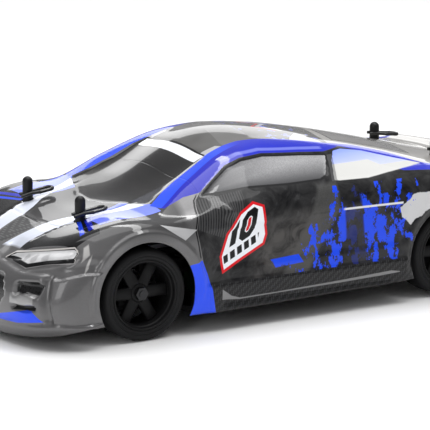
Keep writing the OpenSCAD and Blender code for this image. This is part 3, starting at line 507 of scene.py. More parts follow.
class Livery:
    """The shell's outer face: printed parts and a few painted highlights and reflections that share places and
    masks, in layers under clear gloss.
    """

    def __init__(self):
        self.f = f = Finish("livery_with_painted_highlights", GUNMETAL, rough=0.3, coat=1.0, coat_rough=0.03, coat_ior=1.36,
                            specular=0.06)
        self.x, self.y, self.z = x, y, z = f.axes()
        self.away = away = abs(y)
        self.side = f.vector(x, z, 1.0)
        self.top = f.vector(x, away, 1.0)
        self.flank = away.over(47.5, 1.0)
        self.upper = z.over(41, 1.0)
        self.rail_low = f.edge(RAIL_LOW, x)
        self.drops = f.noise(6.2, 5, 0.68, where=f.vector(x, 0.0, z * 0.62))
        self.weave = woven(f, x + z * 0.3, z, 1.05)
        self.carbon = f.mix(self.weave, (0.003, 0.003, 0.003), (0.04, 0.04, 0.042))
        self.skirt = z.under(22.9, 0.2)
        door_front = f.edge([(9, 44.4), (20, 46.3), (34, 51), (42, 52.6), (49, 53.9), (61, 49.6), (64, 46)], z)
        below_rail = (self.rail_low - z).over(0, 0.15) * self.flank.most(away.over(36, 1.0) * z.over(62.5, 0.5))
        self.door = below_rail * (door_front - x).over(0, 0.2) * x.over(-98, 0.3)
        self.colour = None

    def lay(self, mask, colour):
        """Prints a colour over what is there."""
        self.colour = self.f.mix(mask, self.colour, colour)

    def patch(self, plane, corners, soft=0.2):
        """A mask over a shape of a plane."""
        return self.f.shape(plane, corners).over(0, soft)

    def within(self, *depths, soft=0.2):
        """A mask over the places where every depth is above 0."""
        return functools.reduce(least, depths).over(0, soft)

    def ground(self):
        """Gunmetal with a fine metallic flake and slow cloudy change, darker where it faces up."""
        f = self.f
        self.flake = f.cells(0.35)
        self.facing_up = self.z.over(49, 9) * self.x.over(58, 4)
        base = f.mix(f.noise(40, 2), (0.11, 0.108, 0.11), (0.16, 0.158, 0.16))
        base = f.mix(self.flake.over(0.55, 0.5) * 0.1, base, (0.26, 0.26, 0.27))
        return f.mix(self.facing_up * 0.75, base, (0.022, 0.022, 0.023))

    def door_smoke(self):
        """Black doors with smoke, streaks, a hatched front and a field of dots."""
        f, x, z, side = self.f, self.x, self.z, self.side
        smoke = f.noise(11, 4, 0.6, twist=1.2)
        across = f.vector((x * 0.35 + z * 0.25) / 1.4, self.away * 0.1, (z - x * 0.7) / 9)
        streaks = f.noise(1.0, 3, 0.6, where=across).over(0.62, 0.12)
        self.colour = f.mix(smoke.over(0.52, 0.3), DEEP_BLACK, SMOKE)
        self.lay(streaks * smoke.over(0.5, 0.3) * x.over(-20, 10) * 0.6, (0.075, 0.075, 0.078))
        hatched = self.patch(side, [(54, 49.5), (53, 60.8), (26, 63.6), (29, 48), (40, 44)], 0.5)
        self.lay(hatched * ((x + z * 0.16) / 1.35).part().over(0.5, 0.35), (0.06, 0.06, 0.062))
        dots = f.shape(side, [(-14, 62.5), (-24.5, 62.5), (-24.5, 49.8), (-8.6, 49.4)])
        dots = dots.most(f.shape(side, [(-8.6, 49.6), (-24.4, 50), (-6, 22), (8, 21.6)]))
        self.lay(dots.over(0, 2) * (0.4 + f.noise(0.5, 1) * 0.6), (0.085, 0.085, 0.083))
        grey_fade = self.patch(side, [(16, 49), (-14, 49.5), (-4, 24), (24, 22.5)], 10)
        self.lay(grey_fade * smoke.over(0.42, 0.3) * 0.8, (0.085, 0.08, 0.076))

    def splatter(self):
        """Blue splatter over the rear half of the doors, a short band and dim stripes."""
        f, z, side, drops = self.f, self.z, self.side, self.drops
        zone = f.shape(side, [(-19, 61.5), (-72, 61), (-66, 30), (-60, 20), (0, 20), (4, 26)])
        fade = (zone / 22).most(0.0).least(1.0)
        splat = (drops + fade * 0.13).over(0.57, 0.012) * zone.over(0.2, 0.2) * z.over(22.6, 0.2)
        splat = splat * (1 - self.patch(side, [(-27, 64), (-36, 64), (-40, 18), (-29, 18)], 1.0) * 0.85)
        self.lay(splat, BRIGHT_BLUE)
        band = self.patch(side, [(14, 30.6), (-1.5, 31.4), (-4, 27.4), (11.5, 26.6)], 0.3)
        self.lay(band * (1 - drops.over(0.6, 0.03)), BRIGHT_BLUE)
        stripes = self.patch(side, [(-33, 48), (-50, 48), (-56, 22), (-36, 22)], 0.6)
        self.lay(stripes * (1 - splat) * 0.8, (0.028, 0.028, 0.034))

    def side_skirt(self):
        """Woven skirt with a painted highlight along its ledge."""
        f, x, z = self.f, self.x, self.z
        self.lay(self.skirt, self.carbon)
        low = f.edge([(-58, 16.4), (-48, 15.6), (-25, 14.9), (31, 14.1), (41, 15)], x)
        high = f.edge([(-58, 16.7), (-53, 17.6), (-25, 16.1), (10, 14.9), (31, 14.7), (36, 16.4), (41, 20)], x)
        # painted highlight: a pale grey band along the upward face of the skirt's ledge
        ledge_highlight = self.within(high - z, z - low, soft=0.25) * x.over(-58, 0.3) * x.under(41, 0.3)
        self.lay(ledge_highlight * 0.7, (0.34, 0.34, 0.34))

    def number_plate(self):
        """Door plate: red rim, white field, black figures and bars, which read forwards on both sides."""
        x, z = self.x, self.z
        plate = self.f.shape(self.side, [(41.9, 35.4), (40.8, 27.2), (17.4, 38.3), (15.7, 43), (17, 56.8),
                                         (22.8, 59), (30.7, 54.6), (38, 45.4)])
        self.lay(plate.over(0, 0.2), RED)
        self.lay(plate.over(1.25, 0.2), WHITE)
        across = (x * -1 - 0.24 * z + 41) * (self.y.over(0, 0.1) * 2 - 1)
        rise = z - 0.47 * (29.4 - x)
        one = least(1.5 - abs(across + 3.5), 5.2 - abs(rise - 47.6))
        flag = least(1.1 - abs(rise - 50.6 + (across + 5.4) * -0.8), 1.9 - abs(across + 5.6))
        wide, high = abs(across - 3.4), abs(rise - 47.2)
        outer = self.within(3.9 - wide, 5.9 - high, 7.7 - wide - high)
        inner = least(least(1.3 - wide, 3.2 - high), 3.6 - wide - high)
        figures = one.most(flag).over(0, 0.2).most(outer * (1 - inner.over(0, 0.2)))
        bars = self.within(1.9 - abs(rise - 38.2), 10.2 - abs(across))
        bars = bars * ((across + rise * 0.3) / 3.4).part().over(0.32, 0.06)
        on_plate = plate.over(1.9, 0.2)
        self.lay(on_plate * figures, DEEP_BLACK)
        self.lay(on_plate * inner.over(0.5, 0.2), RED)
        self.lay(on_plate * bars, DEEP_BLACK)

    def door_lines(self):
        """A painted highlight along the rear of the door crease, and the shut lines of the doors."""
        f, x, z = self.f, self.x, self.z
        crease = f.edge([(-60, 49.9), (-25, 50.1), (14, 49.1), (40, 47.8)], x)
        # painted highlight: a pale line along the crease behind x = -27
        crease_highlight = self.within(0.5 - abs(z - crease), x + 60, 15 - x) * self.door
        self.lay(crease_highlight * x.under(-27, 1.5), CREASE_HIGHLIGHT_WHITE)
        front = f.edge([(22, 47.6), (34, 52), (42, 53.4), (49, 54.6), (61, 50.4), (64, 47)], z)
        self.shut = (0.35 - abs(x - front)).over(0, 0.2)
        self.lay(self.shut * self.flank * z.over(36, 1) * z.under(63, 1), DEEP_BLACK)

    def wheel_panels(self):
        """Blue panel behind the front wheel, worn patch over the rear one, a painted highlight on the front fender
        and painted reflections beside the headlamp.
        """
        f, x, z, side = self.f, self.x, self.z, self.side
        front = f.edge([(9, 44.5), (20.4, 46.3), (28, 48.7), (36, 52)], z)
        self.lay(self.within(x - front, 72 - x, 50.4 - x * 0.3 - z) * self.flank, BRIGHT_BLUE)
        low = f.edge([(-130, 28), (-108, 45), (-90, 48.5), (-74, 46), (-64, 39), (-59.5, 43), (-57, 56)], x)
        high = f.edge([(-130, 52), (-80, 54.5), (-66, 53), (-57, 46)], x)
        worn = f.noise(5, 4, 0.6) * 3 - 1.5
        rear = (least(least(high - z, z - low), -57 - x) + worn).over(0, 0.4) * self.flank
        self.lay(rear, f.mix(x.under(-84, 14), (0.62, 0.62, 0.63), (0.16, 0.16, 0.165)))
        self.lay(rear * self.drops.over(0.6, 0.02), BRIGHT_BLUE)
        # painted highlight: a pale triangle on the front fender where light is reflected
        fender_highlight = self.patch(side, [(72.3, 53.4), (53.9, 49.4), (60.4, 45.3)])
        self.lay(fender_highlight * self.flank * 0.9, (0.6, 0.6, 0.61))
        # painted reflections: pale slashes on the fender beside the headlamp
        upper_headlamp_reflection = self.patch(side, [(109.2, 46.2), (107, 47.6), (107.8, 43.4), (111.6, 40.2)], 0.5)
        lower_headlamp_reflection = self.patch(side, [(108.4, 41.6), (107, 43.2), (108.9, 37.4), (111, 35)], 0.4)
        self.lay(upper_headlamp_reflection.most(lower_headlamp_reflection) * self.away.over(51, 0.6) * 0.75, (0.6, 0.59, 0.58))

    def bonnet(self):
        """Woven middle, pale blue corner, black blade, blue bars and white sweep."""
        f, x, away, top = self.f, self.x, self.away, self.top
        here = self.upper * x.over(64, 0.5) * away.under(56, 1.0)
        middle = self.patch(top, [(105.6, 0), (105.4, 9.4), (111, 9), (122.5, 6.6), (129, 0)], 0.3)
        self.lay(here * middle, f.mix(woven(f, x, away, 1.3), (0.02, 0.02, 0.021), (0.11, 0.11, 0.112)))
        corner = self.patch(top, [(66, 38), (73, 22), (95.5, 27), (97.6, 45.6), (66, 48.5)], 0.3)
        self.lay(here * corner, PALE_BLUE)
        blade = [(125.6, 18.2), (98, 27), (94, 30), (96, 45), (101, 54.4), (112.6, 51.6), (116, 43)]
        self.blade = here * self.patch(top, blade)
        self.lay(self.blade, DEEP_BLACK)
        self.lay(here * self.patch(top, [(98.9, 28.4), (96.9, 28.6), (105.6, 48.6), (107.8, 48.4)]), BRIGHT_BLUE)
        self.lay(here * self.patch(top, [(95, 27.6), (91.5, 27.6), (100.6, 48), (103.4, 48.6)]), BLUE)
        lines = (0.35 - abs(abs(away - 37) - 7.2)).over(0, 0.15) * self.within(x - 84.5, 94 - x, soft=0.3)
        self.lay(here * lines, DEEP_BLACK)
        sweep_in = f.edge([(64, 28), (80, 26.4), (90, 22), (99, 15), (105, 11.6), (128, 7)], x)
        sweep_out = f.edge([(64, 38), (72, 35), (80, 31.4), (92, 28.4), (99, 26.2), (105, 23.6), (112, 21.8),
                            (120, 20.2), (128, 17.4)], x)
        sweep = self.within(sweep_out - away, away - sweep_in, soft=0.25)
        self.lay(here * sweep * x.over(68, 0.5), (0.82, 0.86, 0.98))
        self.gap_line = (0.3 - abs(x - 105.9)).over(0, 0.15) * away.under(9.6, 0.4) * self.upper
        self.lay(self.gap_line, DEEP_BLACK)

    def headlamps(self):
        """Dark pockets with a bright top rim and a silver lens over three bowls."""
        f, z, away = self.f, self.z, self.away
        here = self.x.over(103, 0.6) * away.under(57, 0.6)
        head = depth_in(HEADLIGHT, away, z)
        lamp = depth_in(LAMP, away, z)
        pocket = f.mix(head.over(0.4, 0.3), (0.3, 0.29, 0.29), (0.012, 0.012, 0.013))
        bowl_x, bowl_z = ((away - 25) / 6.6).part() - 0.5, (z - 38.8 - (away - 33) * 0.16) / 6
        self.bowls = (bowl_x * bowl_x + bowl_z * bowl_z) * 4
        glass = f.mix(f.noise(5, 2), (0.5, 0.5, 0.51), (0.8, 0.8, 0.81))
        bowls = self.bowls.under(0.35, 0.3) * self.within(away - 24, 44 - away, soft=0.5)
        glass = f.mix(bowls * 0.45, glass, (0.25, 0.25, 0.26))
        pocket = f.mix(lamp.over(0, 0.25), pocket, glass)
        lamp_low = f.edge(LAMP[0], away)
        pocket = f.mix((lamp_low + 0.6 - z).over(0, 0.3) * lamp.over(-1.2, 0.3), pocket, DEEP_BLACK)
        pocket = f.mix((f.edge(HEADLIGHT[1], away) - 0.75 - z).under(0, 0.2), pocket, (0.62, 0.6, 0.58))
        self.head = here * head.over(0, 0.2) * z.over(33, 0.3)
        self.lens = self.head * lamp.over(0, 0.25)
        self.lay(self.head, pocket)

    def nose(self):
        """Intakes with dark mesh, a bright patch between them and the blue wedge of the splitter."""
        f, z, away = self.f, self.z, self.away
        here = self.x.over(103, 0.6) * away.under(57, 0.6) * z.under(33.6, 0.4)
        mesh = f.cells(0.9, where=f.vector(away, 0.0, z)).over(0.35, 0.2)
        dark_mesh = f.mix(mesh, (0.003, 0.003, 0.003), (0.02, 0.02, 0.021))
        self.lay(here * depth_in(FOG_INTAKE, away, z).over(0.1, 0.2), dark_mesh)
        self.lay(here * depth_in(LOWER_SLOT, away, z).over(0, 0.2), DEEP_BLACK)
        self.lay(here * depth_in(GRILLE, away, z).over(0.3, 0.3), dark_mesh)
        bright = self.within(46.5 - away, away - 33, 24.6 - z, z - 20.2, soft=0.8)
        self.lay(here * bright * 0.6, (0.5, 0.5, 0.5))
        wedge = [(18, 10.2), (24, 13.2), (43, 18.1), (46, 18.1), (50.2, 13.4), (36, 11)]
        self.lay(here * self.patch(f.vector(away, z, 1.0), wedge), BRIGHT_BLUE)

    def roof_panels(self):
        """Dark roof with a lighter band and chevrons, pale rear deck and the rear glass."""
        f, x, away, top = self.f, self.x, self.away, self.top
        self.rail_in = f.edge(RAIL_IN, x)
        self.roof = (self.rail_in - away).over(0, 0.2) * x.under(37, 0.3) * self.z.over(57, 1.0)
        dark = f.mix(f.noise(26, 2).over(0.5, 0.5), (0.055, 0.053, 0.05), (0.12, 0.118, 0.115))
        marks = f.noise(5.5, 4, 0.65).over(0.6, 0.02) * self.within(x + 34, 2 - x, soft=4)
        dark = f.mix(marks * 0.7, dark, PALE_BLUE)
        band = self.patch(top, [(13.5, -2), (19, 22), (20, 40), (8, 40), (3, 20), (0.5, -2)], 0.4)
        dark = f.mix(band * 0.3, dark, (0.24, 0.235, 0.235))
        for half_wide, tip, strength, colour in ((0.6, 8, 1.0, RED), (1.3, 11, 0.6, WHITE)):
            chevron = (half_wide - abs(x + tip + abs(away - 7) * 1.1)).over(0, 0.3)
            dark = f.mix(chevron * away.under(15, 0.3) * strength, dark, colour)
        deck = f.mix(f.noise(30, 2), (0.3, 0.29, 0.275), (0.46, 0.45, 0.43))
        deck_line = f.edge([(0, -40), (26, -36.4), (36, -35)], away)
        panels = f.mix((deck_line - x).over(0, 0.3), dark, deck)
        glass = f.shape(f.vector(away, x, 1.0), [(-1, -44), (25, -42.5), (32, -84), (-1, -88)])
        panels = f.mix(glass.over(0, 0.2), panels, f.mix(glass.over(1.0, 0.3), DEEP_BLACK, (0.2, 0.195, 0.19)))
        front_flag = self.patch(top, [(31, 23), (22, 23), (19, 28), (30, 28)])
        rear_flag = self.patch(top, [(-13, 33), (-18, 26), (-25, 18.6), (-27.5, 20), (-33.4, 33)])
        panels = f.mix(front_flag.most(rear_flag) * 0.7, panels, (0.6, 0.6, 0.62))
        self.lay(self.roof, panels)

    def rails(self):
        """Blue rails from the front pillars over the windows to the tail."""
        f, x, z, away, rail_low = self.f, self.x, self.z, self.away, self.rail_low
        self.rail = self.within(z - rail_low, away - self.rail_in, 67 - x) * x.over(-104, 0.5) * z.over(56.5, 0.4)
        tone = least(z - rail_low, 40 - x * 0.4)
        tone_line = f.edge([(-104, 2.0), (-60, 2.0), (-20, 3.2), (10, 3.6), (30, 6.4), (50, 9), (64, 12)], x)
        colour = f.mix((tone_line - tone).over(0, 1.2) * x.over(16, 8), BLUE, (0.008, 0.012, 0.44))
        pillar = f.edge([(10, 29), (30, 34), (50, 41), (66, 47.5)], x) - away
        colour = f.mix(pillar.over(0.2, 0.8) * x.over(18, 14), colour, BRIGHT_BLUE)
        glint = self.within(z - rail_low - 0.9, rail_low + 1.9 - z, soft=0.3) * x.over(-28, 2) * x.under(24, 16)
        self.lay(self.rail, f.mix(glint * 0.35, colour, (0.4, 0.46, 1.0)))
        self.lay(x.under(-104, 0.5) * z.over(56.4, 0.5) * (away - 44).over(0, 0.3), BLUE)

    def windscreen(self):
        f, x, away = self.f, self.x, self.away
        here = self.z.over(54.5, 0.5) * x.over(28, 0.3)
        depth = depth_in(WINDSCREEN, away, x)
        glass = f.mix(f.noise(34, 1).over(0.5, 0.5), (0.010, 0.010, 0.011), (0.028, 0.027, 0.026))
        sheen = f.shape(self.top, [(67, 38), (58, 33), (46, 29.6), (69.5, 24)]).over(0.6, 0.6)
        glass = f.mix(sheen * (1 - self.y.under(0, 0.2)), glass, (0.062, 0.064, 0.075))
        self.screen = here * depth.over(0, 0.2)
        self.lay(self.screen, f.mix(depth.over(0.9, 0.3), DEEP_BLACK, glass))
        self.lay(here * depth_in(BANNER, away, x).over(0, 0.2), WHITE)

    def side_windows(self):
        """Silver dotted side window and pale quarter window, with the pillar between them."""
        f, x, z = self.f, self.x, self.z
        here = self.away.over(36, 0.5) * z.over(60, 0.5)
        depth = depth_in(SIDE_WINDOW, x, z)
        self.dots = f.cells(0.4, where=f.vector(x + z * 0.2, 0.0, z * 1.1))
        silver = f.mix(least(x.under(18, 46), z.over(68, 8)), (0.03, 0.03, 0.034), (0.44, 0.44, 0.45))
        silver = f.mix(self.dots.over(0.45, 0.4) * 0.3, silver, (0.09, 0.09, 0.092))
        self.window = here * depth.over(0.5, 0.25)
        self.lay(here * depth.over(-0.2, 0.2) * self.door, DEEP_BLACK)
        self.lay(self.window, silver)
        pale = f.mix(z.over(70.6, 6), (0.55, 0.6, 0.98), (0.27, 0.36, 0.98))
        step_line = f.edge([(-80, 66), (-66, 66.4), (-56, 66.6), (-51, 69), (-24, 69.2)], x)
        pale = f.mix((step_line - z).over(0, 0.2), pale, (0.66, 0.66, 0.64))
        self.lay(here * depth_in(QUARTER_WINDOW, x, z).over(0.1, 0.25), pale)
        pillar = self.patch(self.side, [(-28.6, 73), (-32, 73), (-26.6, 63), (-23.2, 63)])
        self.lay(pillar * here * self.door * 0.6, (0.1, 0.1, 0.105))

    def tail(self):
        """Dark band with reeded red lamps and the woven diffuser."""
        f, z, away = self.f, self.z, self.away
        here = self.x.under(-120, 0.6)
        reeds = f.mix(abs((away / 2.2).part() - 0.5).over(0.3, 0.2), (0.55, 0.01, 0.012), (0.2, 0.0, 0.004))
        lamps = self.within(44.2 - z, z - 38.4, 51 - away, away - 24)
        band = self.within(45.3 - z, z - 37.1, 53 - away)
        self.lay(here * band, f.mix(lamps, (0.01, 0.01, 0.011), reeds))
        self.lay(here * self.within(22.6 - z, 38 - away), self.carbon)

    def gloss(self):
        """Clear coat, metallic ground and fine relief."""
        f = self.f
        bare = (1 - self.door) * (1 - self.rail.most(self.roof)) * (1 - self.head)
        f.drive("Coat Weight", 1 - self.door * 0.45 * (1 - self.window))
        f.drive("Metallic", (0.55 - self.facing_up * 0.4) * bare + self.window * 0.25)
        glassy = self.screen.most(self.blade)
        f.drive("Roughness", 0.36 - glassy * 0.24 + self.flake * 0.04 + self.facing_up * 0.1)
        seams = self.shut.most(self.gap_line) * -0.5
        grain = self.dots * self.window * 0.05 + self.weave * (self.door * self.skirt) * 0.12
        bowls = self.bowls.least(1.0) * 0.3 * self.lens
        f.bump(seams + grain + bowls + f.noise(14, 2) * 0.04, strength=0.5, distance=0.5)


def livery_with_painted_highlights():
    """The whole livery: the doors over the ground first, then every part in turn."""
    livery = Livery()
    ground = livery.ground()
    for part in (livery.door_smoke, livery.splatter, livery.side_skirt, livery.number_plate):
        part()
    livery.colour = livery.f.mix(livery.door, ground, livery.colour)
    for part in (livery.door_lines, livery.wheel_panels, livery.bonnet, livery.headlamps, livery.nose,
                 livery.roof_panels, livery.rails, livery.windscreen, livery.side_windows, livery.tail):
        part()
    livery.f.drive("Base Color", livery.colour)
    livery.gloss()
    return livery.f.material


def plain_finish(name, colour, rough, metal=0.0, coat=0.0, size=0.6, depth=0.05, change=0.25, stretch=None):
    """A finish with small changes of colour, roughness and relief."""
    f = Finish(name, colour, rough=rough, metal=metal, coat=coat, specular=0.5 if metal else 0.18)
    where = f.point()
    if stretch:
        where = f.node("ShaderNodeVectorMath", {"operation": "MULTIPLY"}, where, stretch)
    fine = f.noise(size, 4, 0.6, where=where)
    broad = f.noise(size * 14, 3, 0.5)
    light = tuple(min(c * (1 + change) + 0.004, 1) for c in colour)
    dark = tuple(c * (1 - change) for c in colour)
    f.drive("Base Color", f.mix(broad * 0.6 + fine * 0.4, dark, light))
    f.drive("Roughness", rough - 0.08 + fine * 0.1 + broad * 0.08)
    f.bump(fine, strength=0.35, distance=depth)
    return f.material


def inner_shell_finish():
    return plain_finish("shell_backing", (0.014, 0.014, 0.015), 0.55, size=1.2, depth=0.05)


def tyre_finish():
    """Slick rubber with fine changes of colour, roughness and relief."""
    f = Finish("tyre_rubber", (0.012, 0.012, 0.013), rough=0.62, specular=0.2)
    fine = f.noise(0.35, 4, 0.6)
    broad = f.noise(7, 3)
    f.drive("Base Color", f.mix(broad, (0.005, 0.005, 0.0055), (0.013, 0.013, 0.014)))
    f.drive("Roughness", 0.5 + fine * 0.14 + broad * 0.1)
    f.bump(fine, strength=0.3, distance=0.06)
    return f.material


FINISHES = {
    "black_plastic": ((0.018, 0.018, 0.02), 0.45, 0.0, 0.0, 0.5, 0.05),
    "post_plastic": ((0.012, 0.012, 0.013), 0.38, 0.0, 0.1, 0.5, 0.04),
    "clip_wire": ((0.012, 0.012, 0.012), 0.35, 0.35, 0.3, 0.4, 0.03),
    "foam": ((0.02, 0.02, 0.021), 0.9, 0.0, 0.0, 0.7, 0.2),
    "rim_plastic": ((0.005, 0.005, 0.0055), 0.5, 0.0, 0.0, 0.5, 0.03),
    "steel": ((0.52, 0.52, 0.54), 0.28, 1.0, 0.0, 0.4, 0.02),
    "dark_steel": ((0.03, 0.03, 0.032), 0.4, 0.7, 0.0, 0.4, 0.02),
    "brass_gear": ((0.66, 0.48, 0.2), 0.34, 1.0, 0.0, 0.4, 0.02),
    "motor_steel": ((0.5, 0.5, 0.52), 0.32, 1.0, 0.0, 0.5, 0.02),
    "alloy": ((0.72, 0.5, 0.2), 0.3, 1.0, 0.0, 0.4, 0.02),
    "battery_wrap": ((0.02, 0.09, 0.03), 0.25, 0.0, 0.5, 2.0, 0.06),
    "strap": ((0.015, 0.015, 0.016), 0.85, 0.0, 0.0, 0.3, 0.12),
    "switch_red": ((0.5, 0.02, 0.02), 0.3, 0.0, 0.4, 0.6, 0.02),
    "spring_wire": ((0.62, 0.62, 0.65), 0.25, 1.0, 0.0, 0.3, 0.02),
}
NODE_FINISH = {
    "front_bumper": "foam", "body_posts": "post_plastic", "clip_": "clip_wire", "motor_can": "motor_steel",
    "motor_pinion": "steel", "centre_shaft": "steel", "front_diff": "brass_gear", "rear_diff": "brass_gear",
    "battery_strap": "strap", "battery": "battery_wrap", "power_switch": "switch_red", "hinge_pins": "steel",
    "tie_rod": "steel", "drag_link": "steel", "dogbone": "steel", "axle_": "dark_steel", "shock_body": "alloy",
    "shock_rod": "steel", "shock_springs": "spring_wire", "rim_": "rim_plastic",
}


# ---------------------------------------------------------------- turned and wound pieces

def turned(shape, profile, count, centre, way):
    """Turns a closed profile of (radius, depth) points in mm about a wheel's axle. way is 1 on the left."""
    cx, cy, cz = centre
    rings = []
    for r, depth in profile:
        ring = []
        for k in range(count):
            a = 2 * math.pi * k / count
            spot = (cx + r * MM * math.cos(a), cy + way * depth * MM, cz + r * MM * math.sin(a))
            ring.append(shape.verts.new(spot))
        rings.append(ring)
    for here, there in zip(rings, rings[1:] + rings[:1]):
        for k in range(count):
            n = (k + 1) % count
            shape.faces.new((here[k], here[n], there[n], there[k]))


def rounded(points, radius, steps=4):
    """Rounds the corners of an open profile."""
    out = [points[0]]
    for a, b, c in zip(points, points[1:], points[2:]):
        back, on = Vector(a) - Vector(b), Vector(c) - Vector(b)
        cut = min(radius, back.length * 0.45, on.length * 0.45)
        p, q = Vector(b) + back.normalized() * cut, Vector(b) + on.normalized() * cut
        for k in range(steps + 1):
            t = k / steps
            spot = p * (1 - t) ** 2 + 2 * Vector(b) * t * (1 - t) + q * t * t
            out.append(tuple(spot))
    return out + [points[-1]]


def coil_spring(name, top, foot, radius, wire, turns):
    """A closed wound spring between two points in metres."""
    axis = (foot - top)
    long = axis.length
    frame_turn = axis.to_track_quat("Z", "Y").to_matrix().to_4x4()
    place = Matrix.Translation(top) @ frame_turn
    shape = bmesh.new()
    steps, sides = turns * 28, 8
    rings = []
    for i in range(steps + 1):
        t = i / steps
        angle = 2 * math.pi * turns * t
        rise = long * min(max((t - 0.04) / 0.92, 0), 1)
        out = Vector((math.cos(angle), math.sin(angle), 0))
        mid = out * radius * MM + Vector((0, 0, rise))
        ring = []
        for k in range(sides):
            b = 2 * math.pi * k / sides
            spot = mid + out * math.cos(b) * wire * MM + Vector((0, 0, math.sin(b) * wire * MM))
            ring.append(shape.verts.new(place @ spot))
        rings.append(ring)
    for here, there in zip(rings, rings[1:]):
        for k in range(sides):
            n = (k + 1) % sides
            shape.faces.new((here[k], there[k], there[n], here[n]))
    for ring in (rings[0][::-1], rings[-1]):
        shape.faces.new(ring)
    bmesh.ops.recalc_face_normals(shape, faces=shape.faces[:])
    return link(name, shape)


def corner_box(node):
    """The middle and the size of a frame part in metres."""
    low, high = (Vector(p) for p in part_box(node))
    return (low + high) / 2, high - low


# ---------------------------------------------------------------- settings and operators

class TouringCarShell(bpy.types.PropertyGroup):
    """Sizes of the printed body shell"""

    cell: FloatProperty(name="Cell", description="Size of the skin's mesh cells", default=0.00135, min=0.0008,
                        max=0.004, unit="LENGTH")
    wall: FloatProperty(name="Wall", description="Thickness of the shell", default=0.001, min=0.0005, max=0.002,
                        unit="LENGTH")
    post_hole: FloatProperty(name="Post Hole", description="Radius of the holes for the body posts",
                             default=0.0031, min=0.0026, max=0.005, unit="LENGTH")


class TouringCarWheels(bpy.types.PropertyGroup):
    """Sizes of the tyres and rims"""

    spokes: IntProperty(name="Spokes", description="Number of rim spokes", default=6, min=3, max=12)
    segments: IntProperty(name="Segments", description="Steps around each tyre", default=96, min=32, max=160)


class TouringCarSprings(bpy.types.PropertyGroup):
    """Sizes of the shock springs"""

    turns: IntProperty(name="Turns", description="Turns of each spring", default=7, min=4, max=12)
    wire: FloatProperty(name="Wire", description="Thickness of the spring wire", default=0.0008, min=0.0005,
                        max=0.0012, unit="LENGTH")


class TouringCarStage(bpy.types.PropertyGroup):
    """Floor and light"""

    floor: FloatVectorProperty(name="Floor", description="Colour of the floor", default=(0.93, 0.93, 0.93),
                               min=0, max=1, subtype="COLOR")
    light: FloatProperty(name="Light", description="Strength of the large overhead light in watts", default=13.0,
                         min=0, max=100)


class CAR_OT_shell(bpy.types.Operator):
    """Build the printed body shell"""

    bl_idname = "car.shell"
    bl_label = "Body Shell"

    def execute(self, context):
        sizes = context.scene.touring_car_shell
        grid = skin_grid(sizes.cell / MM)
        grid = grid + skin_normals(grid) * moulded_relief(*(grid[..., k] for k in range(3)))[..., None]
        shape = bmesh.new()
        rows = [[shape.verts.new(p) for p in line] for line in (grid * MM).tolist()]
        for here, there in zip(rows, rows[1:]):
            for k in range(len(here) - 1):
                shape.faces.new((here[k], there[k], there[k + 1], here[k + 1]))
        for cx, cz, r in ARCHES:
            cut_away(shape, arch_reach(cx, cz, r))
        for cx, low in POSTS:
            for cy in (POST_OUT, -POST_OUT):
                cut_away(shape, hole_reach(cx, cy, sizes.post_hole / MM, low))
        loose = [v for v in shape.verts if not v.link_faces]
        bmesh.ops.delete(shape, geom=loose, context="VERTS")
        bmesh.ops.recalc_face_normals(shape, faces=shape.faces[:])
        if sum(face.normal.z * face.calc_area() for face in shape.faces) < 0:
            bmesh.ops.reverse_faces(shape, faces=shape.faces[:])
        shell = link("body_shell_skin", shape, livery_with_painted_highlights(), inner_shell_finish())
        add(shell, "SOLIDIFY", thickness=sizes.wall, offset=-1, material_offset=1, material_offset_rim=1,
            use_even_offset=False)
        settle(shell)
        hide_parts("body_shell")
        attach(shell, "shell")
        return {"FINISHED"}


class CAR_OT_tyres(bpy.types.Operator):
    """Build the four slick tyres"""

    bl_idname = "car.tyres"
    bl_label = "Tyres"

    def execute(self, context):
        sizes = context.scene.touring_car_wheels
        finish = tyre_finish()
        for corner in CORNERS:
            node = "tyre_" + corner
            middle, size = corner_box(node)
            way = 1 if middle.y > 0 else -1
            r, half = size.x / 2 / MM, size.y / 2 / MM
            profile = [(16.5, -half + 0.6), (18.2, -half), (19.6, -half + 0.1), (r, -half + 2.2), (r, half - 2.4),
                       (r - 1.2, half - 0.5), (r - 2.6, half - 0.05), (r - 2.9, half - 0.45), (r - 3.4, half - 0.45),
                       (r - 3.7, half - 0.1), (17.3, half - 0.25), (16.5, half - 0.6)]
            profile = rounded(profile, 1.1, 3)
            shape = bmesh.new()
            turned(shape, profile, sizes.segments, middle, way)
            bmesh.ops.recalc_face_normals(shape, faces=shape.faces[:])
            tyre = link("slick_" + corner, shape, finish)
            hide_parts(node)
            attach(tyre, "wheel_" + corner)
        return {"FINISHED"}


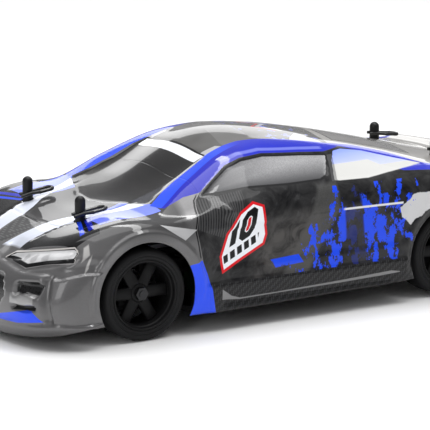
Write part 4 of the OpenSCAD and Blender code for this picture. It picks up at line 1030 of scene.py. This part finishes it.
class CAR_OT_rims(bpy.types.Operator):
    """Build the four deep dish rims with their spokes"""

    bl_idname = "car.rims"
    bl_label = "Rims"

    def execute(self, context):
        sizes = context.scene.touring_car_wheels
        finish = plain_finish("rim_plastic", *FINISHES["rim_plastic"][:4], size=0.5, depth=0.03)
        for corner in CORNERS:
            node = "rim_" + corner
            middle, size = corner_box("tyre_" + corner)
            way = 1 if middle.y > 0 else -1
            half, r = size.y / 2 / MM, RIM_R
            shape = bmesh.new()
            barrel = [(r - 1.5, -half + 0.9), (r, -half + 0.7), (r, half - 0.6), (r - 0.5, half - 0.25),
                      (r - 1.1, half - 0.6), (r - 1.2, half - 2.4), (r - 1.9, half - 3.0), (r - 2.2, half - 5.6),
                      (r - 1.7, half - 6.6)]
            turned(shape, rounded(barrel, 0.35, 2), sizes.segments, middle, way)
            hub = [(1.6, half - 13.2), (4.6, half - 13.2), (4.6, half - 6.4), (3.9, half - 5.6), (1.6, half - 5.6)]
            turned(shape, rounded(hub, 0.4, 2), sizes.segments // 2, middle, way)
            for k in range(sizes.spokes):
                self.spoke(shape, middle, way, half, 2 * math.pi * k / sizes.spokes, r)
            bmesh.ops.recalc_face_normals(shape, faces=shape.faces[:])
            rim = link("dish_rim_" + corner, shape, finish)
            add(rim, "BEVEL", width=0.0003, segments=2, limit_method="ANGLE", angle_limit=math.radians(40))
            settle(rim)
            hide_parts(node)
            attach(rim, "wheel_" + corner)
        return {"FINISHED"}

    def spoke(self, shape, middle, way, half, angle, r):
        """One tapered spoke with a shallow crown from the hub to the barrel."""
        turn = Matrix.Rotation(angle, 3, "Y")
        back, face = half - 9.3, half - 6.7
        sections = []
        for reach, wide, dish in ((3.2, 3.2, 0.5), (6, 3.0, 0.2), (10, 2.9, 0.0), (r - 1.9, 3.0, 0.15)):
            section = [(-wide, back), (-wide * 0.96, face - 0.55 + dish), (-wide * 0.6, face + dish),
                       (wide * 0.6, face + dish), (wide * 0.96, face - 0.55 + dish), (wide, back)]
            sections.append([shape.verts.new(middle + turn @ Vector((reach * MM, way * d * MM, w * MM)))
                             for w, d in section])
        for here, there in zip(sections, sections[1:]):
            for k in range(6):
                n = (k + 1) % 6
                shape.faces.new((here[k], here[n], there[n], there[k]))
        shape.faces.new(sections[0][::-1])
        shape.faces.new(sections[-1])


class CAR_OT_springs(bpy.types.Operator):
    """Build the four shock springs"""

    bl_idname = "car.springs"
    bl_label = "Shock Springs"

    def execute(self, context):
        sizes = context.scene.touring_car_springs
        finish = plain_finish("spring_wire", *FINISHES["spring_wire"][:4], size=0.3, depth=0.02)
        for corner in CORNERS:
            along = SHOCKS_AT[corner[0]]
            way = 1 if corner[1] == "l" else -1
            pin, eye = (Vector((along, way * out, up)) * MM for out, up in (SHOCK_PIN, SHOCK_EYE))
            lean = (eye - pin).normalized() * MM
            top, foot = pin + lean * PIN_TO_SPRING, eye - lean * EYE_TO_SPRING
            spring = coil_spring("spring_" + corner, top, foot, SPRING_R, sizes.wire / 2 / MM, sizes.turns)
            spring.data.materials.append(finish)
            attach(spring, "chassis")
            if corner == "fl":
                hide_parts("shock_springs")
            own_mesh(spring)
        return {"FINISHED"}


class CAR_OT_chassis(bpy.types.Operator):
    """Finish the chassis, drive line, suspension and electrics"""

    bl_idname = "car.chassis"
    bl_label = "Chassis Finishes"

    def execute(self, context):
        made = {}
        for name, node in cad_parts.items():
            if node.hide_render:
                continue
            kind = next((v for k, v in NODE_FINISH.items() if name.startswith(k)), "black_plastic")
            if kind not in made:
                colour, rough, metal, coat, size, depth = FINISHES[kind]
                stretch = (1, 6, 1) if kind == "motor_steel" else None
                made[kind] = plain_finish(kind, colour, rough, metal, coat, size, depth, stretch=stretch)
            node.data.materials.clear()
            node.data.materials.append(made[kind])
            for spot in node.material_slots:
                spot.link = "OBJECT"
                spot.material = made[kind]
        return {"FINISHED"}


class CAR_OT_stage(bpy.types.Operator):
    """Set the floor, lights and camera"""

    bl_idname = "car.stage"
    bl_label = "Stage"

    def execute(self, context):
        scene = context.scene
        sizes = scene.touring_car_stage
        ground = Finish("pale_floor", tuple(sizes.floor), rough=0.6)
        speck = ground.noise(30, 3)
        ground.drive("Roughness", 0.55 + speck * 0.1)
        shape = bmesh.new()
        bmesh.ops.create_grid(shape, x_segments=2, y_segments=2, size=6.0)
        floor = link("floor", shape, ground.material)

        world = bpy.data.worlds.new("studio_air")
        scene.world = world
        world.use_nodes = True
        air = world.node_tree.nodes["Background"]
        sky = Finish.over_tree(world.node_tree)
        height = sky.node("ShaderNodeSeparateXYZ", {}, sky.node("ShaderNodeTexCoord", {}, out=0), out=2)
        glow = sky.shades(height, [(0.0, (0.3, 0.3, 0.305)), (0.2, (0.3, 0.3, 0.305)), (0.5, (0.4, 0.4, 0.41)),
                                   (0.9, (0.7, 0.7, 0.7))])
        sky.fill(air.inputs["Color"], glow)
        air.inputs["Strength"].default_value = 0.8

        self.panel("overhead", (0.0, -0.05, 1.3), (0.0, 0.0, 0.0), 1.2, 1.2, sizes.light)
        self.panel("strip", (-0.25, 0.0, 1.0), (0.0, 0.0, 0.0), 1.4, 0.1, 5.0)
        self.panel("front_left", (1.1, 0.75, 0.45), (0.1, 0.0, 0.03), 0.45, 0.45, 2.2)
        self.panel("behind", (-0.6, -1.1, 0.5), (0.0, 0.0, 0.05), 1.2, 0.35, 2.5)

        lens = bpy.data.cameras.new("view")
        lens.sensor_width = 36
        lens.lens = 217.7
        lens.clip_end = 50
        camera = bpy.data.objects.new("view", lens)
        scene.collection.objects.link(camera)
        camera.location = (0.6416, 1.0568, 0.3075)
        aim = Vector((0.0081, 0.0, 0.03994)) - Vector(camera.location)
        camera.rotation_euler = aim.to_track_quat("-Z", "Y").to_euler()
        scene.camera = camera
        scene.view_settings.view_transform = "Standard"
        return {"FINISHED"}

    def panel(self, name, spot, aim, wide, deep, power):
        data = bpy.data.lights.new(name, "AREA")
        data.shape = "RECTANGLE"
        data.size, data.size_y = wide, deep
        data.energy = power
        lamp = bpy.data.objects.new(name, data)
        bpy.context.scene.collection.objects.link(lamp)
        lamp.location = spot
        lamp.rotation_euler = (Vector(aim) - Vector(spot)).to_track_quat("-Z", "Y").to_euler()


OPERATORS = (CAR_OT_shell, CAR_OT_tyres, CAR_OT_rims, CAR_OT_springs, CAR_OT_chassis, CAR_OT_stage)
SETTINGS = {"touring_car_shell": TouringCarShell, "touring_car_wheels": TouringCarWheels,
            "touring_car_springs": TouringCarSprings, "touring_car_stage": TouringCarStage}


class CAR_PT_looks(bpy.types.Panel):
    """The car's pieces and their settings"""

    bl_idname = "CAR_PT_looks"
    bl_label = "Touring Car"
    bl_space_type = "VIEW_3D"
    bl_region_type = "UI"
    bl_category = "Touring Car"

    def draw(self, context):
        for name in SETTINGS:
            box = self.layout.box()
            group = getattr(context.scene, name)
            for setting in type(group).__annotations__:
                box.prop(group, setting)
        for operator in OPERATORS:
            self.layout.operator(operator.bl_idname)


def register():
    for group in (*SETTINGS.values(), *OPERATORS, CAR_PT_looks):
        bpy.utils.register_class(group)
    for name, group in SETTINGS.items():
        setattr(bpy.types.Scene, name, PointerProperty(type=group))


def unregister():
    for name in SETTINGS:
        delattr(bpy.types.Scene, name)
    for group in (CAR_PT_looks, *OPERATORS, *SETTINGS.values()):
        bpy.utils.unregister_class(group)


def main():
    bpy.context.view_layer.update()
    register()
    for operator in OPERATORS:
        group, name = operator.bl_idname.split(".")
        getattr(getattr(bpy.ops, group), name)()


if __name__ == "__main__":
    main()
